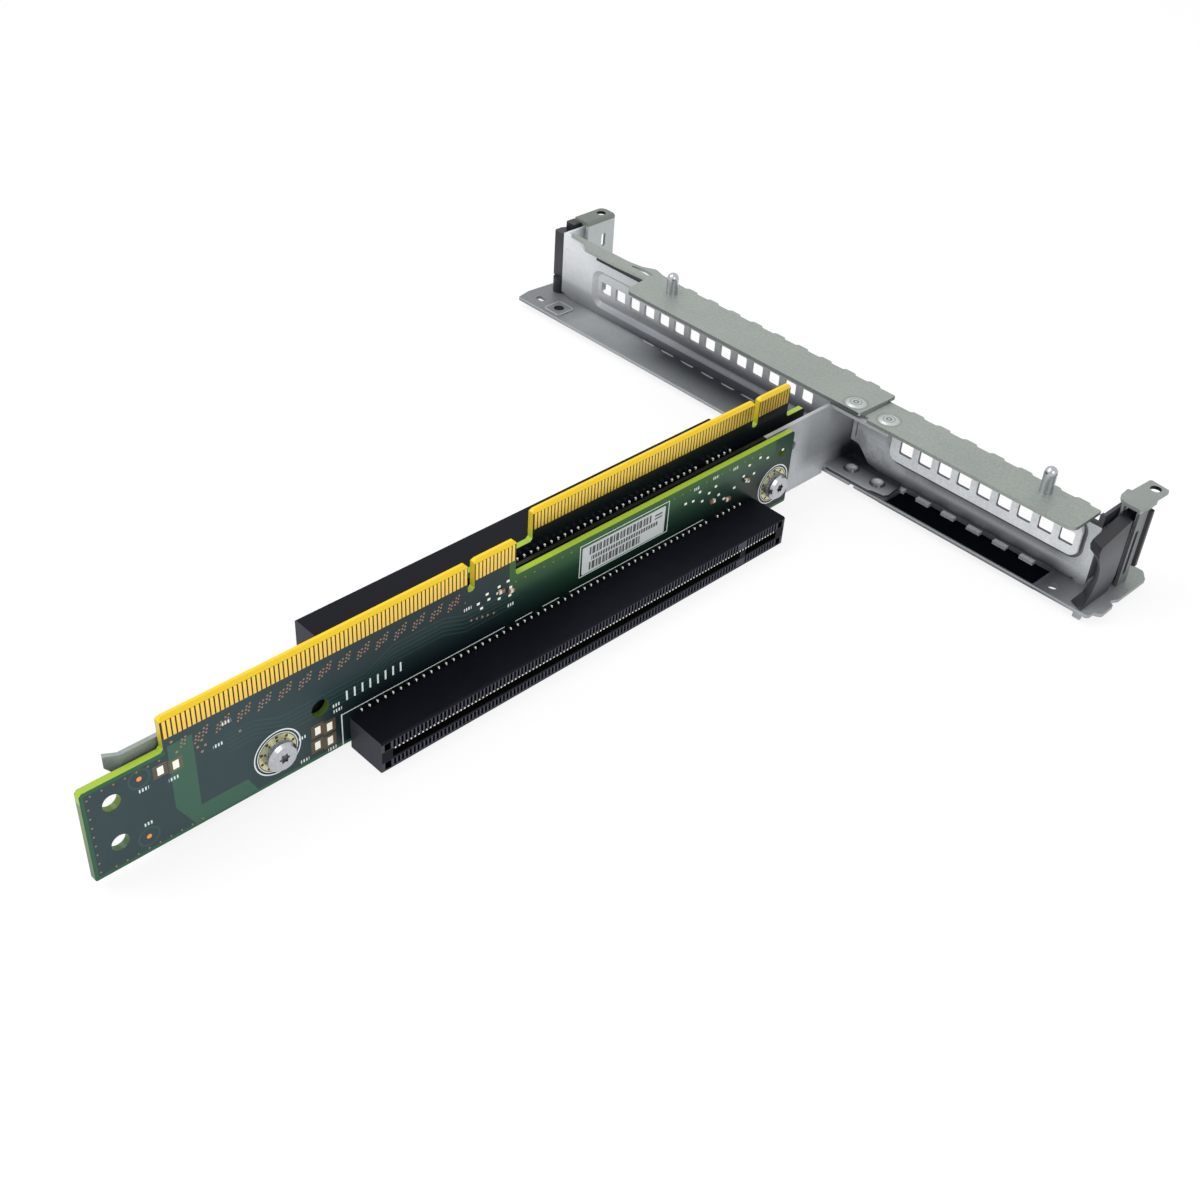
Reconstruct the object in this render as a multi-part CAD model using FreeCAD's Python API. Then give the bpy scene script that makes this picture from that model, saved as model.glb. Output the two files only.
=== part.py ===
import FreeCAD, Part
import math
import os

os.makedirs("parts", exist_ok=True)

V = FreeCAD.Vector

# Driving dimensions in millimetres
# X runs along the crossbar, Y from the free end of the boards to the covers, Z up
# Everything is drawn from the centre web and the long cover's face, and moved at the end
SHEET = 0.9
SEAT_GAP = 0.3
FIT_GAP = 0.02
PLAIN_CORNER_R = 1.0
WEB_THICK = 1.0
BOARD_THICK = 1.6
FRONT_BOARD_GAP = 0.85
REAR_BOARD_GAP = 2.1

# Card slots
SLOT_LENGTH = 122.3
SLOT_END_Y = -41.9
SLOT_WIDTH = 8.0
SLOT_REACH = 10.2
SLOT_CHAMFER = 0.3
FRONT_SLOT_Z = 0.0
REAR_SLOT_Z = 14.7
CARD_SLOT_WIDTH = 1.9
CARD_SLOT_DEPTH = 8.0
SLOT_END_WALL = 2.8
SLOT_KEY_WALL = 1.8
CELL_WIDTH = 0.6
CELL_REACH = 1.9
CELL_LEDGE = 0.55
POCKET_WALL = 0.8
POCKET_LENGTH = 1.6
CELL_DEPTH = 2.0
SHORT_CELL_COUNT = 11
TAIL_PITCH = 2.0
TAIL_WIDTH = 0.6
TAIL_MARGIN = 2.8
TAIL_GAP_INDEX = 52

# Circuit boards
BOARD_BOTTOM_Z = 1.8
BOARD_CORNER_R = 1.0
FRONT_FREE_LENGTH = 57.5
FRONT_SPARE_LENGTH = 12.7
REAR_FREE_LENGTH = 34.8
REAR_SPARE_LENGTH = 22.9
LEFT_SHOULDER_Z = 24.0
RIGHT_SHOULDER_Z = 22.6
TAB_TOP_Z = 31.9
TAB_BEVEL_HEIGHT = 0.9
TAB_BEVEL_DEPTH = 0.45
TAB_MARGIN = 0.75
NOTCH_WIDTH = 1.9
NOTCH_BOTTOM_Z = 24.4
FINGER_PITCH = 1.0
FINGER_WIDTH = 0.68
FINGER_THICK = 0.05
FINGER_LOW_Z = 26.8
FINGER_HIGH_Z = 30.95
LONG_FINGER_COUNT = 71
SHORT_FINGER_COUNT = 11
KEY_STEP_COUNT = 3
FRONT_FINGER_MARGIN = 17.7
REAR_FINGER_SHIFT = 54.4
MOUNT_HOLE_R = 1.85
MIDDLE_HOLE_R = 2.1
END_HOLE_R = 1.3
LABEL_LENGTH = 26.2
LABEL_HEIGHT = 7.4
LABEL_LOW_Z = 12.9
LABEL_SHIFT = 63.6
LABEL_THICK = 0.1
CHIP_LENGTH = 1.6
CHIP_HEIGHT = 0.9
CHIP_THICK = 0.55

# Screws, spacers and rivets
SCREW_Z = 9.35
FREE_SCREW_SHIFT = 17.2
NEAR_SCREW_SHIFT = 6.8
SCREW_R = 1.25
SCREW_HEAD_R = 3.4
SCREW_HEAD_HEIGHT = 2.4
SCREW_HEAD_CHAMFER = 0.6
RECESS_POINT_R = 1.3
RECESS_VALLEY_R = 0.85
RECESS_CUT = 1.4
STANDOFF_R = 2.6
STANDOFF_HOLE_R = 1.5
BOARD_HOLE_R = 1.65
RIVET_R = 1.3
RIVET_HEAD_R = 2.1
RIVET_HEAD_HEIGHT = 1.0
RIVET_TAIL_HEIGHT = 0.6
FOOT_RIVETS = ((6.2, -6.8), (14.9, -7.0))
TOP_RIVETS = ((5.6, -9.2), (15.2, -7.9))
TOP_RIVET_R = 2.6

# Crossbar base
BASE_TOP_Z = 2.9
BASE_FRONT_Y = -11.2
BASE_BACK_Y = 1.6
BASE_LEFT_X = -119.3
BASE_RIGHT_X = 81.6
WING_BACK_Y = 15.0
LEFT_WING_X = -107.0
RIGHT_WING_X = 70.0
OPENING_LEFT_X = 20.0
OPENING_RIGHT_X = 64.8
OPENING_FRONT_Y = -10.7
OPENING_BACK_Y = -2.1
OPENING_R = 0.5
STRIP_PITCH = 7.82
STRIP_WIDTH = 3.9
STRIP_REACH = 1.3
STRIP_COUNT = 6
STRIP_FIRST_X = 16.9
SLIT_FIRST_X = -77.0
SLIT_LENGTH = 5.0
SLIT_WIDTH = 0.8
SLIT_COUNT = 9
BASE_HOLE_R = 1.5
BASE_HOLES = ((-105.2, -6.8), (68.3, -7.3))
COLLAR_R = 2.3
COLLAR_HEIGHT = 0.7
PAD_SIZE = 6.5
PAD_HEIGHT = 0.35
FILM_MARGIN = 1.5
FILM_THICK = 0.3
HOOK_WIDTH = 2.0
HOOK_HEIGHT = 1.6

# Centre web
WEB_TOP_Z = 22.3
WEB_END_Y = 0.6
WEB_TAIL_MARGIN = 9.8
WEB_TAIL_Z = 25.9
WEB_STEP_Y = -118.0
WEB_HOLE_R = 1.5
LIP_LENGTH = 2.3
LIP_SHIFT = 1.4
FLANGE_REACH = 10.0

# Top plates and guide pins
PLATE_FRONT_Y = -12.6
LEFT_PLATE_BACK_Y = 1.5
RIGHT_PLATE_BACK_Y = -0.5
LEFT_PLATE_START_X = -73.5
LEFT_PLATE_END_X = 9.4
RIGHT_PLATE_START_X = -0.5
RIGHT_PLATE_END_X = 71.5
SCALLOP_PITCH = 8.0
SCALLOP_WIDTH = 4.4
SCALLOP_REACH = 0.7
PIN_R = 1.6
PIN_TOP_Z = 30.0
PIN_STAKE_R = 1.35
PINS = ((-64.2, -3.4), (58.4, -3.8))

# Slot covers
COVER_FOOT_Z = 3.0
COVER_MIDDLE_Z = 12.55
COVER_HIGH_Z = 20.5
COVER_END_HIGH_Z = 23.0
COVER_TAB_LENGTH = 11.4
PANEL_DEPTH = 1.2
PANEL_SHIFT = 1.3
PANEL_HEIGHT = 9.0
PANEL_R = 2.4
LEFT_PANEL_SLOPE = 1.3
RIGHT_PANEL_SLOPE = 0.5
LEFT_PANEL = (-97.4, -10.4)
RIGHT_PANEL = (13.8, 69.5)
VENT_PITCH = 5.92
VENT_WIDTH = 3.95
VENT_HEIGHT = 3.75
VENT_R = 0.5
LEFT_VENT_COUNT = 14
RIGHT_VENT_COUNT = 9
LEFT_VENT_X = -93.95
RIGHT_VENT_X = 18.6
LEFT_COVER_X = -111.5
RIGHT_COVER_X = 73.2
RIGHT_COVER_Y = -1.4

# End brackets and latches
END_TAB_TOP_Z = 25.5
END_TAB_HOLE_R = 1.35
LEFT_END_X = -107.8
LEFT_END_FRONT_Y = 6.3
LEFT_END_BACK_Y = 17.5
LEFT_TAB_HOLE = (-110.9, 14.4)
RIGHT_TAB_HOLE = (76.3, 14.2)
STRAP_X = 78.6
STRAP_THICK = 0.8
STRAP_FRONT_Y = 4.0
STRAP_BACK_Y = 8.3
INNER_WALL_X = 73.5
INNER_WALL_THICK = 0.65
LATCH_GAP = 0.25
LATCH_IN_X = 74.5
LATCH_OUT_X = 78.1
LATCH_TOP_Z = 22.6
LEFT_HINGE = (-113.9, 8.6)
RIGHT_HINGE = (75.7, 6.8)
TRUNNION_R = 1.0
RUNNING_GAP = 0.08
SLAB_LOW_Z = 7.6
SLAB_HIGH_Z = 21.8
KNOB_HEIGHT = 2.1

# Values that follow from the ones above
SLOT_START_Y = SLOT_END_Y - SLOT_LENGTH
FRONT_START_Y = SLOT_START_Y - FRONT_FREE_LENGTH
FRONT_END_Y = SLOT_END_Y + FRONT_SPARE_LENGTH
REAR_START_Y = SLOT_START_Y - REAR_FREE_LENGTH
REAR_END_Y = SLOT_END_Y + REAR_SPARE_LENGTH
FRONT_FINGER_Y = FRONT_START_Y + FRONT_FINGER_MARGIN
REAR_FINGER_Y = SLOT_START_Y + REAR_FINGER_SHIFT
FRONT_BACK_X = WEB_THICK / 2 + FRONT_BOARD_GAP
FRONT_FACE_X = FRONT_BACK_X + BOARD_THICK
REAR_FACE_X = -(WEB_THICK / 2 + REAR_BOARD_GAP)
REAR_BACK_X = REAR_FACE_X - BOARD_THICK
TAIL_COUNT = int((SLOT_LENGTH - 2 * TAIL_MARGIN) / TAIL_PITCH)
TAB_STEP_COUNT = LONG_FINGER_COUNT + SHORT_FINGER_COUNT + KEY_STEP_COUNT - 2
TAB_SPAN = TAB_STEP_COUNT * FINGER_PITCH + 2 * TAB_MARGIN
BASE_BOTTOM_Z = BASE_TOP_Z - SHEET
WEB_BOTTOM_Z = BASE_BOTTOM_Z - 0.6
WEB_TAIL_Y = FRONT_START_Y + WEB_TAIL_MARGIN
RIGHT_PLATE_Z = WEB_TOP_Z
LEFT_PLATE_Z = RIGHT_PLATE_Z + SHEET
LATCH_LOW_Z = BASE_TOP_Z + LATCH_GAP
BOARD_SCREWS = ((SLOT_START_Y - FREE_SCREW_SHIFT, SCREW_Z), (SLOT_END_Y + NEAR_SCREW_SHIFT, SCREW_Z))


# Shapes that are used again and again
def box(x0, x1, y0, y1, z0, z1):
    return Part.makeBox(x1 - x0, y1 - y0, z1 - z0, V(x0, y0, z0))


def rod(radius, start, direction, length):
    return Part.makeCylinder(radius, length, V(*start), V(*direction))


def rounded_outline(points, radii, place):
    """Closed wire through 2-D points: arcs at the large corners, short straight cuts at the small ones."""
    edges = []
    starts = []
    ends = []
    mids = []
    count = len(points)
    for i, (here, radius) in enumerate(zip(points, radii)):
        before = points[i - 1]
        after = points[(i + 1) % count]
        p = V(here[0], here[1], 0)
        a = V(before[0], before[1], 0).sub(p).normalize()
        b = V(after[0], after[1], 0).sub(p).normalize()
        if radius <= 0:
            starts.append(p)
            ends.append(p)
            mids.append(None)
            continue
        half = math.acos(max(-1, min(1, a.dot(b)))) / 2
        reach = radius / math.tan(half)
        if radius <= PLAIN_CORNER_R:
            starts.append(p.add(a * reach * 0.6))
            ends.append(p.add(b * reach * 0.6))
            mids.append(None)
            continue
        centre = p.add(a.add(b).normalize().multiply(radius / math.sin(half)))
        starts.append(p.add(a * reach))
        ends.append(p.add(b * reach))
        mids.append(centre.add(p.sub(centre).normalize().multiply(radius)))
    for i in range(count):
        if mids[i] is not None:
            edges.append(Part.Arc(place(starts[i]), place(mids[i]), place(ends[i])).toShape())
        elif starts[i].distanceToPoint(ends[i]) > 1e-6:
            edges.append(Part.LineSegment(place(starts[i]), place(ends[i])).toShape())
        follow = starts[(i + 1) % count]
        if ends[i].distanceToPoint(follow) > 1e-6:
            edges.append(Part.LineSegment(place(ends[i]), place(follow)).toShape())
    return Part.Wire(edges)


def plate_xy(points, radii, z0, z1):
    wire = rounded_outline(points, radii, lambda p: V(p.x, p.y, z0))
    return Part.Face(wire).extrude(V(0, 0, z1 - z0))


def plate_xz(points, radii, y0, y1):
    wire = rounded_outline(points, radii, lambda p: V(p.x, y0, p.y))
    return Part.Face(wire).extrude(V(0, y1 - y0, 0))


def plate_yz(points, radii, x0, x1):
    wire = rounded_outline(points, radii, lambda p: V(x0, p.x, p.y))
    return Part.Face(wire).extrude(V(x1 - x0, 0, 0))


def rectangle(a0, a1, b0, b1):
    return [(a0, b0), (a1, b0), (a1, b1), (a0, b1)]


def fused(shapes):
    whole = shapes[0].multiFuse(shapes[1:])
    return whole.removeSplitter()


def cut_by(shape, cutters):
    return shape.cut(Part.makeCompound(cutters))


def turned(profile, start, along):
    """Solid of revolution: pairs of distance along the axis and radius, from a start point."""
    start = V(*start)
    along = V(*along)
    side = V(0, 1, 0) if abs(along.y) < 0.5 else V(1, 0, 0)
    points = [start + along * reach + side * radius for reach, radius in profile]
    points = [start + along * profile[0][0]] + points + [start + along * profile[-1][0]]
    return Part.Face(Part.makePolygon(points + [points[0]])).revolve(start, along, 360)


# Circuit boards
def board_profile(start_y, end_y, finger_y):
    """Side outline of a board with its keyed card edge standing on the top."""
    tab_start = finger_y - TAB_MARGIN
    tab_end = tab_start + TAB_SPAN
    notch_mid = finger_y + (LONG_FINGER_COUNT + KEY_STEP_COUNT / 2 - 1) * FINGER_PITCH
    notch_start = notch_mid - NOTCH_WIDTH / 2
    notch_end = notch_mid + NOTCH_WIDTH / 2
    points = [
        (start_y, BOARD_BOTTOM_Z), (end_y, BOARD_BOTTOM_Z), (end_y, RIGHT_SHOULDER_Z),
        (tab_end, RIGHT_SHOULDER_Z), (tab_end, TAB_TOP_Z), (notch_end, TAB_TOP_Z),
        (notch_end, NOTCH_BOTTOM_Z), (notch_start, NOTCH_BOTTOM_Z), (notch_start, TAB_TOP_Z),
        (tab_start, TAB_TOP_Z), (tab_start, LEFT_SHOULDER_Z), (start_y, LEFT_SHOULDER_Z),
    ]
    small = BOARD_CORNER_R / 2
    large = BOARD_CORNER_R
    notch = NOTCH_WIDTH / 2 - FIT_GAP
    radii = [small, small, large, large, large, large, notch, notch, large, large, large, large]
    return points, radii


def bevel_wedges(x_near, x_far, start_y, end_y):
    """Two long wedges that bevel both faces of a card edge."""
    wedges = []
    low = TAB_TOP_Z - TAB_BEVEL_HEIGHT
    for face, inward in ((x_near, -1), (x_far, 1)):
        outer = face - inward * TAB_BEVEL_DEPTH
        inner = face + inward * TAB_BEVEL_DEPTH
        corner = [V(outer, start_y, low), V(face, start_y, low), V(inner, start_y, TAB_TOP_Z),
                  V(inner, start_y, TAB_TOP_Z + 1), V(outer, start_y, TAB_TOP_Z + 1)]
        wire = Part.makePolygon(corner + [corner[0]])
        wedges.append(Part.Face(wire).extrude(V(0, end_y - start_y, 0)))
    return wedges


def build_board(x_back, x_face, start_y, end_y, finger_y, holes):
    points, radii = board_profile(start_y, end_y, finger_y)
    board = plate_yz(points, radii, x_back, x_face)
    cutters = bevel_wedges(x_face, x_back, finger_y - 2 * TAB_MARGIN, finger_y + TAB_SPAN)
    for y, z, radius in holes:
        cutters.append(rod(radius, (x_back - 1, y, z), (1, 0, 0), BOARD_THICK + 2))
    return cut_by(board, cutters)


def screw_holes():
    return [(y, z, BOARD_HOLE_R) for y, z in BOARD_SCREWS]


def build_front_board():
    holes = screw_holes()
    holes += [(FRONT_START_Y + 5.7, 18.5, MOUNT_HOLE_R), (FRONT_START_Y + 6.0, 8.1, MOUNT_HOLE_R),
              (SLOT_START_Y - 6.8, 14.7, MIDDLE_HOLE_R), (FRONT_END_Y - 4.0, 17.9, END_HOLE_R)]
    return build_board(FRONT_BACK_X, FRONT_FACE_X, FRONT_START_Y, FRONT_END_Y, FRONT_FINGER_Y, holes)


def build_rear_board():
    return build_board(REAR_BACK_X, REAR_FACE_X, REAR_START_Y, REAR_END_Y, REAR_FINGER_Y, screw_holes())


def build_fingers(x_back, x_face, finger_y):
    """Thin gold pads on both faces of a card edge."""
    pads = []
    for index in range(LONG_FINGER_COUNT + SHORT_FINGER_COUNT):
        step = index if index < LONG_FINGER_COUNT else index + KEY_STEP_COUNT - 1
        middle = finger_y + step * FINGER_PITCH
        low = middle - FINGER_WIDTH / 2
        high = middle + FINGER_WIDTH / 2
        pads.append(box(x_face, x_face + FINGER_THICK, low, high, FINGER_LOW_Z, FINGER_HIGH_Z))
        pads.append(box(x_back - FINGER_THICK, x_back, low, high, FINGER_LOW_Z, FINGER_HIGH_Z))
    return Part.makeCompound(pads)


# Card slots
def slot_cut(x_far, outward, depth, y0, y1, z0, z1):
    near = x_far - outward * depth
    far = x_far + outward
    return box(min(near, far), max(near, far), y0, y1, z0, z1)


def contact_cells(x_far, outward, start, count, middle):
    """Row of cells beside both edges of the card slot, each with a sloped floor for its contact."""
    cells = []
    for index in range(count):
        centre = start + (index + 0.5) * FINGER_PITCH
        for side in (-1, 1):
            near = middle + side * (CARD_SLOT_WIDTH / 2 + CELL_LEDGE)
            far = near + side * CELL_REACH
            corner = [V(x_far + outward, centre - CELL_WIDTH / 2, near),
                      V(x_far - outward * CELL_DEPTH, centre - CELL_WIDTH / 2, near),
                      V(x_far, centre - CELL_WIDTH / 2, far), V(x_far + outward, centre - CELL_WIDTH / 2, far)]
            face = Part.Face(Part.makePolygon(corner + [corner[0]]))
            cells.append(face.extrude(V(0, CELL_WIDTH, 0)))
    return cells


def end_pockets(x_far, outward, middle):
    """Square pockets in the end walls, in line with both rows of cells."""
    pockets = []
    for start in (SLOT_START_Y + POCKET_WALL, SLOT_END_Y - POCKET_WALL - POCKET_LENGTH):
        for side in (-1, 1):
            near = middle + side * (CARD_SLOT_WIDTH / 2 + CELL_LEDGE)
            far = near + side * CELL_REACH
            pockets.append(slot_cut(x_far, outward, CELL_DEPTH, start, start + POCKET_LENGTH,
                                    min(near, far), max(near, far)))
    return pockets


def build_slot(x_board, outward, low_z):
    """Slot housing with a keyed card slot and a comb of contact cells along both sides."""
    x_far = x_board + outward * SLOT_REACH
    body = box(min(x_board, x_far), max(x_board, x_far), SLOT_START_Y, SLOT_END_Y,
               low_z, low_z + SLOT_WIDTH)
    long_edges = [e for e in body.Edges if abs(e.Length - SLOT_LENGTH) < 1e-6
                  and abs(e.CenterOfMass.x - x_far) < 1e-6]
    body = body.makeChamfer(SLOT_CHAMFER, long_edges)
    middle = low_z + SLOT_WIDTH / 2
    short_end = SLOT_END_Y - SLOT_END_WALL
    short_start = short_end - SHORT_CELL_COUNT * FINGER_PITCH
    long_start = SLOT_START_Y + SLOT_END_WALL
    long_end = short_start - SLOT_KEY_WALL
    long_count = int((long_end - long_start) / FINGER_PITCH)
    cutters = []
    for start, end in ((long_start, long_end), (short_start, short_end)):
        cutters.append(slot_cut(x_far, outward, CARD_SLOT_DEPTH, start, end,
                                middle - CARD_SLOT_WIDTH / 2, middle + CARD_SLOT_WIDTH / 2))
    cutters += contact_cells(x_far, outward, long_start, long_count, middle)
    cutters += contact_cells(x_far, outward, short_start, SHORT_CELL_COUNT, middle)
    cutters += end_pockets(x_far, outward, middle)
    return cut_by(body, cutters)


def tail_places():
    """Middle of each soldered tail, with the gap that the key leaves."""
    return [SLOT_START_Y + TAIL_MARGIN + index * TAIL_PITCH
            for index in range(TAIL_COUNT) if index != TAIL_GAP_INDEX]


def build_front_tails():
    half = TAIL_WIDTH / 2
    low = FRONT_SLOT_Z + SLOT_WIDTH + 0.05
    return Part.makeCompound([box(FRONT_FACE_X, FRONT_FACE_X + 0.5, y - half, y + half, low, low + 1.0)
                              for y in tail_places()])


def build_rear_tails():
    half = TAIL_WIDTH / 2
    z = REAR_SLOT_Z + SLOT_WIDTH - 0.9
    return Part.makeCompound([box(REAR_FACE_X, REAR_FACE_X + 1.1, y - half, y + half, z - half, z + half)
                              for y in tail_places()])


# Centre web
def build_web():
    half = WEB_THICK / 2
    step_y = BASE_FRONT_Y - SEAT_GAP
    feet_y = BOARD_SCREWS[0][0]
    points = [
        (WEB_TAIL_Y, 8.0), (WEB_TAIL_Y + 3, WEB_BOTTOM_Z), (feet_y - 3.1, WEB_BOTTOM_Z), (feet_y - 2.0, 0.6),
        (feet_y + 2.8, 0.6), (feet_y + 3.9, WEB_BOTTOM_Z), (step_y, WEB_BOTTOM_Z), (step_y, BASE_TOP_Z),
        (WEB_END_Y, BASE_TOP_Z), (WEB_END_Y, WEB_TOP_Z), (WEB_STEP_Y, WEB_TOP_Z),
        (WEB_STEP_Y - 1.5, WEB_TAIL_Z), (WEB_TAIL_Y, WEB_TAIL_Z),
    ]
    radii = [1.5, 1.5, 0.6, 0.3, 0.3, 0.3, 0, 0, 0, 0, 1.0, 1.5, 0]
    main = plate_yz(points, radii, -half, half)
    foot = plate_xy([(-half, -11.0), (14.8, -11.0), (15.9, -10.4), (19.3, -9.8), (19.9, -8.8), (19.3, -2.4),
                     (-half, -2.4)], [0, 0.4, 0.4, 0.4, 0.4, 0.8, 0], BASE_TOP_Z, BASE_TOP_Z + SHEET)
    lip = plate_xy([(-half, -12.0), (18.2, -12.0), (18.6, -3.0), (-half, -3.0)],
                   [0, 0.5, 0.5, 0], WEB_TOP_Z - SHEET, WEB_TOP_Z)
    flange = plate_xz([(-half, BASE_TOP_Z), (FLANGE_REACH, BASE_TOP_Z), (FLANGE_REACH, 17.0), (7.0, 20.0),
                       (-half, 20.0)], [0, 0.5, 1.5, 1.5, 0], WEB_END_Y - SHEET + 0.1, WEB_END_Y)
    web = fused([main, build_tail_lip(), foot, lip, flange])
    holes = [rod(SCREW_R, (-1, y, z), (1, 0, 0), 2) for y, z in BOARD_SCREWS]
    holes.append(rod(WEB_HOLE_R, (-1, FRONT_END_Y + 2.9, 15.5), (1, 0, 0), 2))
    holes += [rod(RIVET_R, (x, y, BASE_TOP_Z - 0.5), (0, 0, 1), 2) for x, y in FOOT_RIVETS]
    holes += [rod(RIVET_R, (x, y, WEB_TOP_Z - 2), (0, 0, 1), 3) for x, y in TOP_RIVETS]
    return cut_by(web, holes)


def build_tail_lip():
    """Short end of the web, bent away from the front board and rounded below."""
    half = WEB_THICK / 2
    near = WEB_TAIL_Y + 0.3
    tip = WEB_TAIL_Y - LIP_LENGTH
    low = 18.0
    points = [
        V(half, near, low), V(-half, near, low), V(-half, WEB_TAIL_Y, low), V(-half - LIP_SHIFT, tip, low),
        V(half - LIP_SHIFT, tip - 0.4, low), V(half, WEB_TAIL_Y, low),
    ]
    lip = Part.Face(Part.makePolygon(points + [points[0]])).extrude(V(0, 0, WEB_TAIL_Z - low))
    outline = [(tip - 2, WEB_TAIL_Z), (tip - 2, 25.0), (WEB_TAIL_Y - 1.7, 22.2), (near, 20.5),
               (near, WEB_TAIL_Z)]
    return lip.common(plate_yz(outline, [0, 0, 1.5, 0, 0], -5, 5))


# Rivets, screws and spacers
def build_foot_rivets():
    """Domed rivets that hold the web's foot to the base."""
    low = BASE_BOTTOM_Z - RIVET_TAIL_HEIGHT
    top = BASE_TOP_Z + SHEET
    shank_r = RIVET_R - FIT_GAP
    head = top - low
    profile = [(0, 2.0), (RIVET_TAIL_HEIGHT, 2.0), (RIVET_TAIL_HEIGHT, shank_r), (head, shank_r),
               (head, RIVET_HEAD_R), (head + 0.6 * RIVET_HEAD_HEIGHT, 0.8 * RIVET_HEAD_R),
               (head + RIVET_HEAD_HEIGHT, 0.3 * RIVET_HEAD_R)]
    return Part.makeCompound([turned(profile, (x, y, low), (0, 0, 1)) for x, y in FOOT_RIVETS])


def build_top_rivets():
    """Low rivets with a wide flared head."""
    rivets = []
    low = WEB_TOP_Z - SHEET - 0.4
    for (x, y), top in zip(TOP_RIVETS, (LEFT_PLATE_Z + SHEET, RIGHT_PLATE_Z + SHEET)):
        rise = top - low
        shank_r = RIVET_R - FIT_GAP
        profile = [(0, 1.9), (0.4, 1.9), (0.4, shank_r), (rise, shank_r), (rise, TOP_RIVET_R),
                   (rise + 0.35, TOP_RIVET_R - 0.6)]
        rivets.append(turned(profile, (x, y, low), (0, 0, 1)))
    return Part.makeCompound(rivets)


def recess_star(x, y, z, outward):
    """Six-pointed recess of a screw head."""
    points = []
    for index in range(12):
        radius = RECESS_POINT_R if index % 2 == 0 else RECESS_VALLEY_R
        angle = math.radians(30 * index)
        points.append(V(x, y + radius * math.cos(angle), z + radius * math.sin(angle)))
    return Part.Face(Part.makePolygon(points + [points[0]])).extrude(V(2 * outward * RECESS_CUT, 0, 0))


def build_screws(x_face, outward, shank_length):
    """Flat-topped screws with a six-pointed recess."""
    screws = []
    for y, z in BOARD_SCREWS:
        shank_r = SCREW_R - FIT_GAP
        profile = [(-shank_length, shank_r), (0, shank_r), (0, SCREW_HEAD_R),
                   (SCREW_HEAD_HEIGHT - SCREW_HEAD_CHAMFER, SCREW_HEAD_R),
                   (SCREW_HEAD_HEIGHT, SCREW_HEAD_R - SCREW_HEAD_CHAMFER)]
        screw = turned(profile, (x_face, y, z), (outward, 0, 0))
        floor = x_face + outward * (SCREW_HEAD_HEIGHT - RECESS_CUT)
        screws.append(screw.cut(recess_star(floor, y, z, outward)))
    return Part.makeCompound(screws)


def build_standoffs():
    """Six-sided spacers on both faces of the web that the boards are screwed against."""
    spacers = []
    for near, far in ((WEB_THICK / 2, FRONT_BACK_X), (REAR_FACE_X, -WEB_THICK / 2)):
        for y, z in BOARD_SCREWS:
            corners = [(y + STANDOFF_R * math.cos(math.radians(60 * k)),
                        z + STANDOFF_R * math.sin(math.radians(60 * k))) for k in range(6)]
            spacer = plate_yz(corners, [0] * 6, near, far)
            spacers.append(spacer.cut(rod(STANDOFF_HOLE_R, (near - 1, y, z), (1, 0, 0), far - near + 2)))
    return Part.makeCompound(spacers)


# Crossbar sheets
def base_outline():
    front = BASE_FRONT_Y
    points = [
        (BASE_LEFT_X + 1, front), (9.2, front), (9.2, front + 0.9), (10.7, front + 0.9), (10.7, front),
        (80.4, front), (80.4, -8.8), (82.2, -8.2), (82.0, -2.8), (80.4, -2.0), (BASE_RIGHT_X, 0.4),
        (BASE_RIGHT_X, 12.2), (79.4, WING_BACK_Y), (RIGHT_WING_X, WING_BACK_Y), (RIGHT_WING_X, BASE_BACK_Y),
        (LEFT_WING_X, BASE_BACK_Y), (LEFT_WING_X, WING_BACK_Y), (BASE_LEFT_X + 1.5, WING_BACK_Y),
        (BASE_LEFT_X, -6.3),
    ]
    radii = [0.6, 0, 0, 0, 0, 1.2, 0.5, 1.4, 0.8, 0.6, 0.8, 1.0, 1.0, 1.0, 1.0, 1.0, 1.0, 1.5, 1.5]
    return points, radii


def spring_strip():
    """Small spring tabs at the back of the opening, under the short cover."""
    tabs = []
    for index in range(STRIP_COUNT):
        start = max(STRIP_FIRST_X + index * STRIP_PITCH, OPENING_LEFT_X - 0.5)
        end = STRIP_FIRST_X + index * STRIP_PITCH + STRIP_WIDTH
        tabs.append(box(start, end, OPENING_BACK_Y - STRIP_REACH, OPENING_BACK_Y + 0.2,
                        BASE_BOTTOM_Z, BASE_TOP_Z))
    return tabs


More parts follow.
